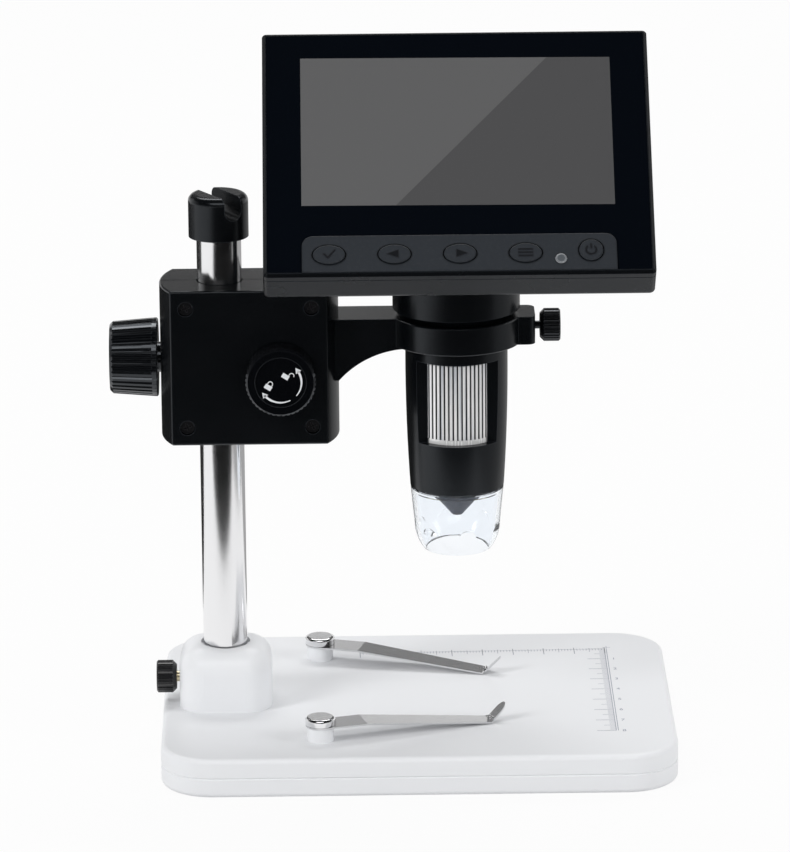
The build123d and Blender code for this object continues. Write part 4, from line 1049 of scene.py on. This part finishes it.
marks = round_arrow(-43, 35) + round_arrow(-61, -141)
marks.append(padlock((-3.9 * MM, -1.5 * MM, 0), lock_tilt, 0))
marks.append(padlock((1.5 * MM, 1.9 * MM, 0), lock_tilt, 1.5 * MM))
knob_marks = join(marks, "lock_knob_marks")
raise_faces(knob_marks, ink_thickness)
upright = Matrix.Rotation(math.pi / 2, 4, "X")
knob_marks.matrix_world = Matrix.Translation((knob_middle.x, knob_face, knob_middle.z)) @ upright
settle(knob_marks)
paint(knob_marks, white_ink)
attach(knob_marks, "lock")
print("knob marks", len(knob_marks.data.polygons))

# %% [markdown]
# ## The studio
#
# A pale floor, white surroundings, and soft lamps. The screen looks up and to the front, so it
# mirrors what is overhead: the overhead stays dim, and the large lamps stand to the sides. The
# floor glows for the camera and in reflections, so that it melts into the white behind it, and
# still takes the soft shadows.

# %% The floor
floor_size = 12.0
floor_whiteness = 0.94


def seen_by(tree, *kinds):
    """1 for rays of any of these kinds."""
    path = node(tree, "ShaderNodeLightPath")
    mask = path.outputs[kinds[0]]
    for kind in kinds[1:]:
        mask = maths(tree, "MAXIMUM", mask, path.outputs[kind])
    return mask


bpy.ops.object.select_all(action="DESELECT")
bpy.ops.mesh.primitive_plane_add(size=floor_size, location=(0, 0, 0))
floor = bpy.context.object
floor.name = "studio_floor"
floor_material, floor_tree, floor_shader = new_material(
    "studio_floor", (0.7, 0.7, 0.7), 0.9, specular=0.0
)
floor_glow = node(floor_tree, "ShaderNodeEmission")
floor_glow.inputs["Strength"].default_value = 1.0
seen = seen_by(floor_tree, "Is Camera Ray", "Is Transmission Ray", "Is Glossy Ray")
blend = node(floor_tree, "ShaderNodeMixShader")
link(floor_tree, maths(floor_tree, "MULTIPLY", seen, floor_whiteness), blend.inputs[0])
link(floor_tree, floor_shader.outputs[0], blend.inputs[1])
link(floor_tree, floor_glow.outputs[0], blend.inputs[2])
link(floor_tree, blend.outputs[0], floor_tree.nodes["Material Output"].inputs[0])
floor.data.materials.append(floor_material)
print("floor", floor_size, "m wide")

# %% [markdown]
# ## Cards for the reflections
#
# Polished and black pieces show what stands round them. So dark and grey cards lie on the table,
# out of the picture: fronts turn deep, edges get an outline, and only some stretches catch the
# pale table. One more hangs behind, with a small pale one before it that lights the front clip's
# root, and a bright one above the front draws thin highlights on edges and ribs. All are seen in
# reflections alone.

# %% The cards
card_lift = 2 * MM
near_end, front_edge, rear_edge, rear_end = -1.7, -0.2, 0.12, 0.85
left_end, right_end = -0.75, 0.95
hung_back = 1.0
hidden_rays = ("visible_camera", "visible_diffuse", "visible_transmission", "visible_shadow")


def mirror_card(name, low, high, grey):
    """Card between two corners, lying or upright, that only reflections show."""
    low, high = Vector(low), Vector(high)
    upright = high.y == low.y
    bpy.ops.object.select_all(action="DESELECT")
    slope = math.pi / 2 if upright else 0
    bpy.ops.mesh.primitive_plane_add(size=1, location=(low + high) / 2, rotation=(slope, 0, 0))
    card = bpy.context.object
    card.name = name
    card.scale = (high.x - low.x, high.z - low.z if upright else high.y - low.y, 1)
    material, _, shader = new_material(name, (0, 0, 0), 1.0, specular=0.0)
    shader.inputs["Emission Color"].default_value = (grey, grey, grey, 1)
    shader.inputs["Emission Strength"].default_value = 1.0
    card.data.materials.append(material)
    for rays in hidden_rays:
        setattr(card, rays, False)
    print(name, "grey", grey)


mirror_card("card_front", (-0.35, near_end, card_lift), (right_end, front_edge, card_lift), 0.006)
mirror_card("card_right", (0.2, front_edge, card_lift), (right_end, rear_edge, card_lift), 0.35)
mirror_card("card_rear_left", (left_end, rear_edge, card_lift), (0.0, rear_end, card_lift), 0.03)
mirror_card("card_rear_right", (0.0, rear_edge, card_lift), (right_end, rear_end, card_lift), 0.4)
mirror_card("card_hung", (-1.0, hung_back, 0.337), (1.0, hung_back, 1.0), 0.1)
mirror_card("card_clip", (-0.065, 0.985, 0.355), (0.0, 0.985, 0.415), 0.6)
mirror_card("card_bright", (-0.7, -1.35, 1.0), (0.5, -0.75, 1.0), 3.0)

# %% [markdown]
# ## The surroundings
#
# The camera sees plain white all round. Reflections see a room: pale behind the object and low
# down, dim in front and overhead, which keeps the black pieces black. Matt faces get a soft even
# light from all sides.

# %% The surroundings
room_white = (1, 1, 1, 1)
matt_light = 0.45

world = bpy.data.worlds.new("studio_world")
bpy.context.scene.world = world
world.use_nodes = True
air = world.node_tree
looking = node(air, "ShaderNodeTexCoord").outputs["Generated"]
behind = ramp(air, part(air, looking, "Y"), -0.2, 0.6, 0.05, 0.95)
lowness = ramp(air, part(air, looking, "Z"), 0.5, 0.35, 0.07, 1.0)
room = maths(air, "MULTIPLY", behind, lowness)
mirrored = maths(air, "MULTIPLY", seen_by(air, "Is Glossy Ray"), room)
direct = seen_by(air, "Is Camera Ray", "Is Transmission Ray")
scattered = maths(air, "MULTIPLY", seen_by(air, "Is Diffuse Ray"), matt_light)
strength = maths(air, "MAXIMUM", maths(air, "MAXIMUM", mirrored, direct), scattered)
background = air.nodes["Background"]
link(air, strength, background.inputs["Strength"])
background.inputs["Color"].default_value = room_white
print("surroundings", world.name)

# %% [markdown]
# ## The lamps
#
# Four soft boxes light the object. Only the one behind shows in reflections, as a bright edge on
# the upper faces. The others are left out of them, because the screen would mirror their outlines.

# %% The lamps
heart = Vector((0, 0, 0.11))


def soft_lamp(name, place, width, height, power, mirrored=False):
    """Rectangular soft box that faces the object's heart."""
    data = bpy.data.lights.new(name, "AREA")
    data.shape = "RECTANGLE"
    data.size = width
    data.size_y = height
    data.energy = power
    lamp = bpy.data.objects.new(name, data)
    bpy.context.scene.collection.objects.link(lamp)
    aim = (heart - Vector(place)).to_track_quat("-Z", "Y")
    lamp.matrix_world = Matrix.Translation(place) @ aim.to_matrix().to_4x4()
    lamp.visible_glossy = mirrored
    print(name, power, "W")


soft_lamp("left_box", (-1.3, -0.75, 0.9), width=0.4, height=1.2, power=12.5)
soft_lamp("right_box", (1.4, -0.55, 0.7), width=0.4, height=1.0, power=6.5)
soft_lamp("front_box", (0.3, -1.7, 0.35), width=1.2, height=0.5, power=5)
soft_lamp("back_box", (0.0, 1.0, 1.6), width=1.6, height=0.6, power=15, mirrored=True)

bpy.context.scene.view_settings.view_transform = "Standard"
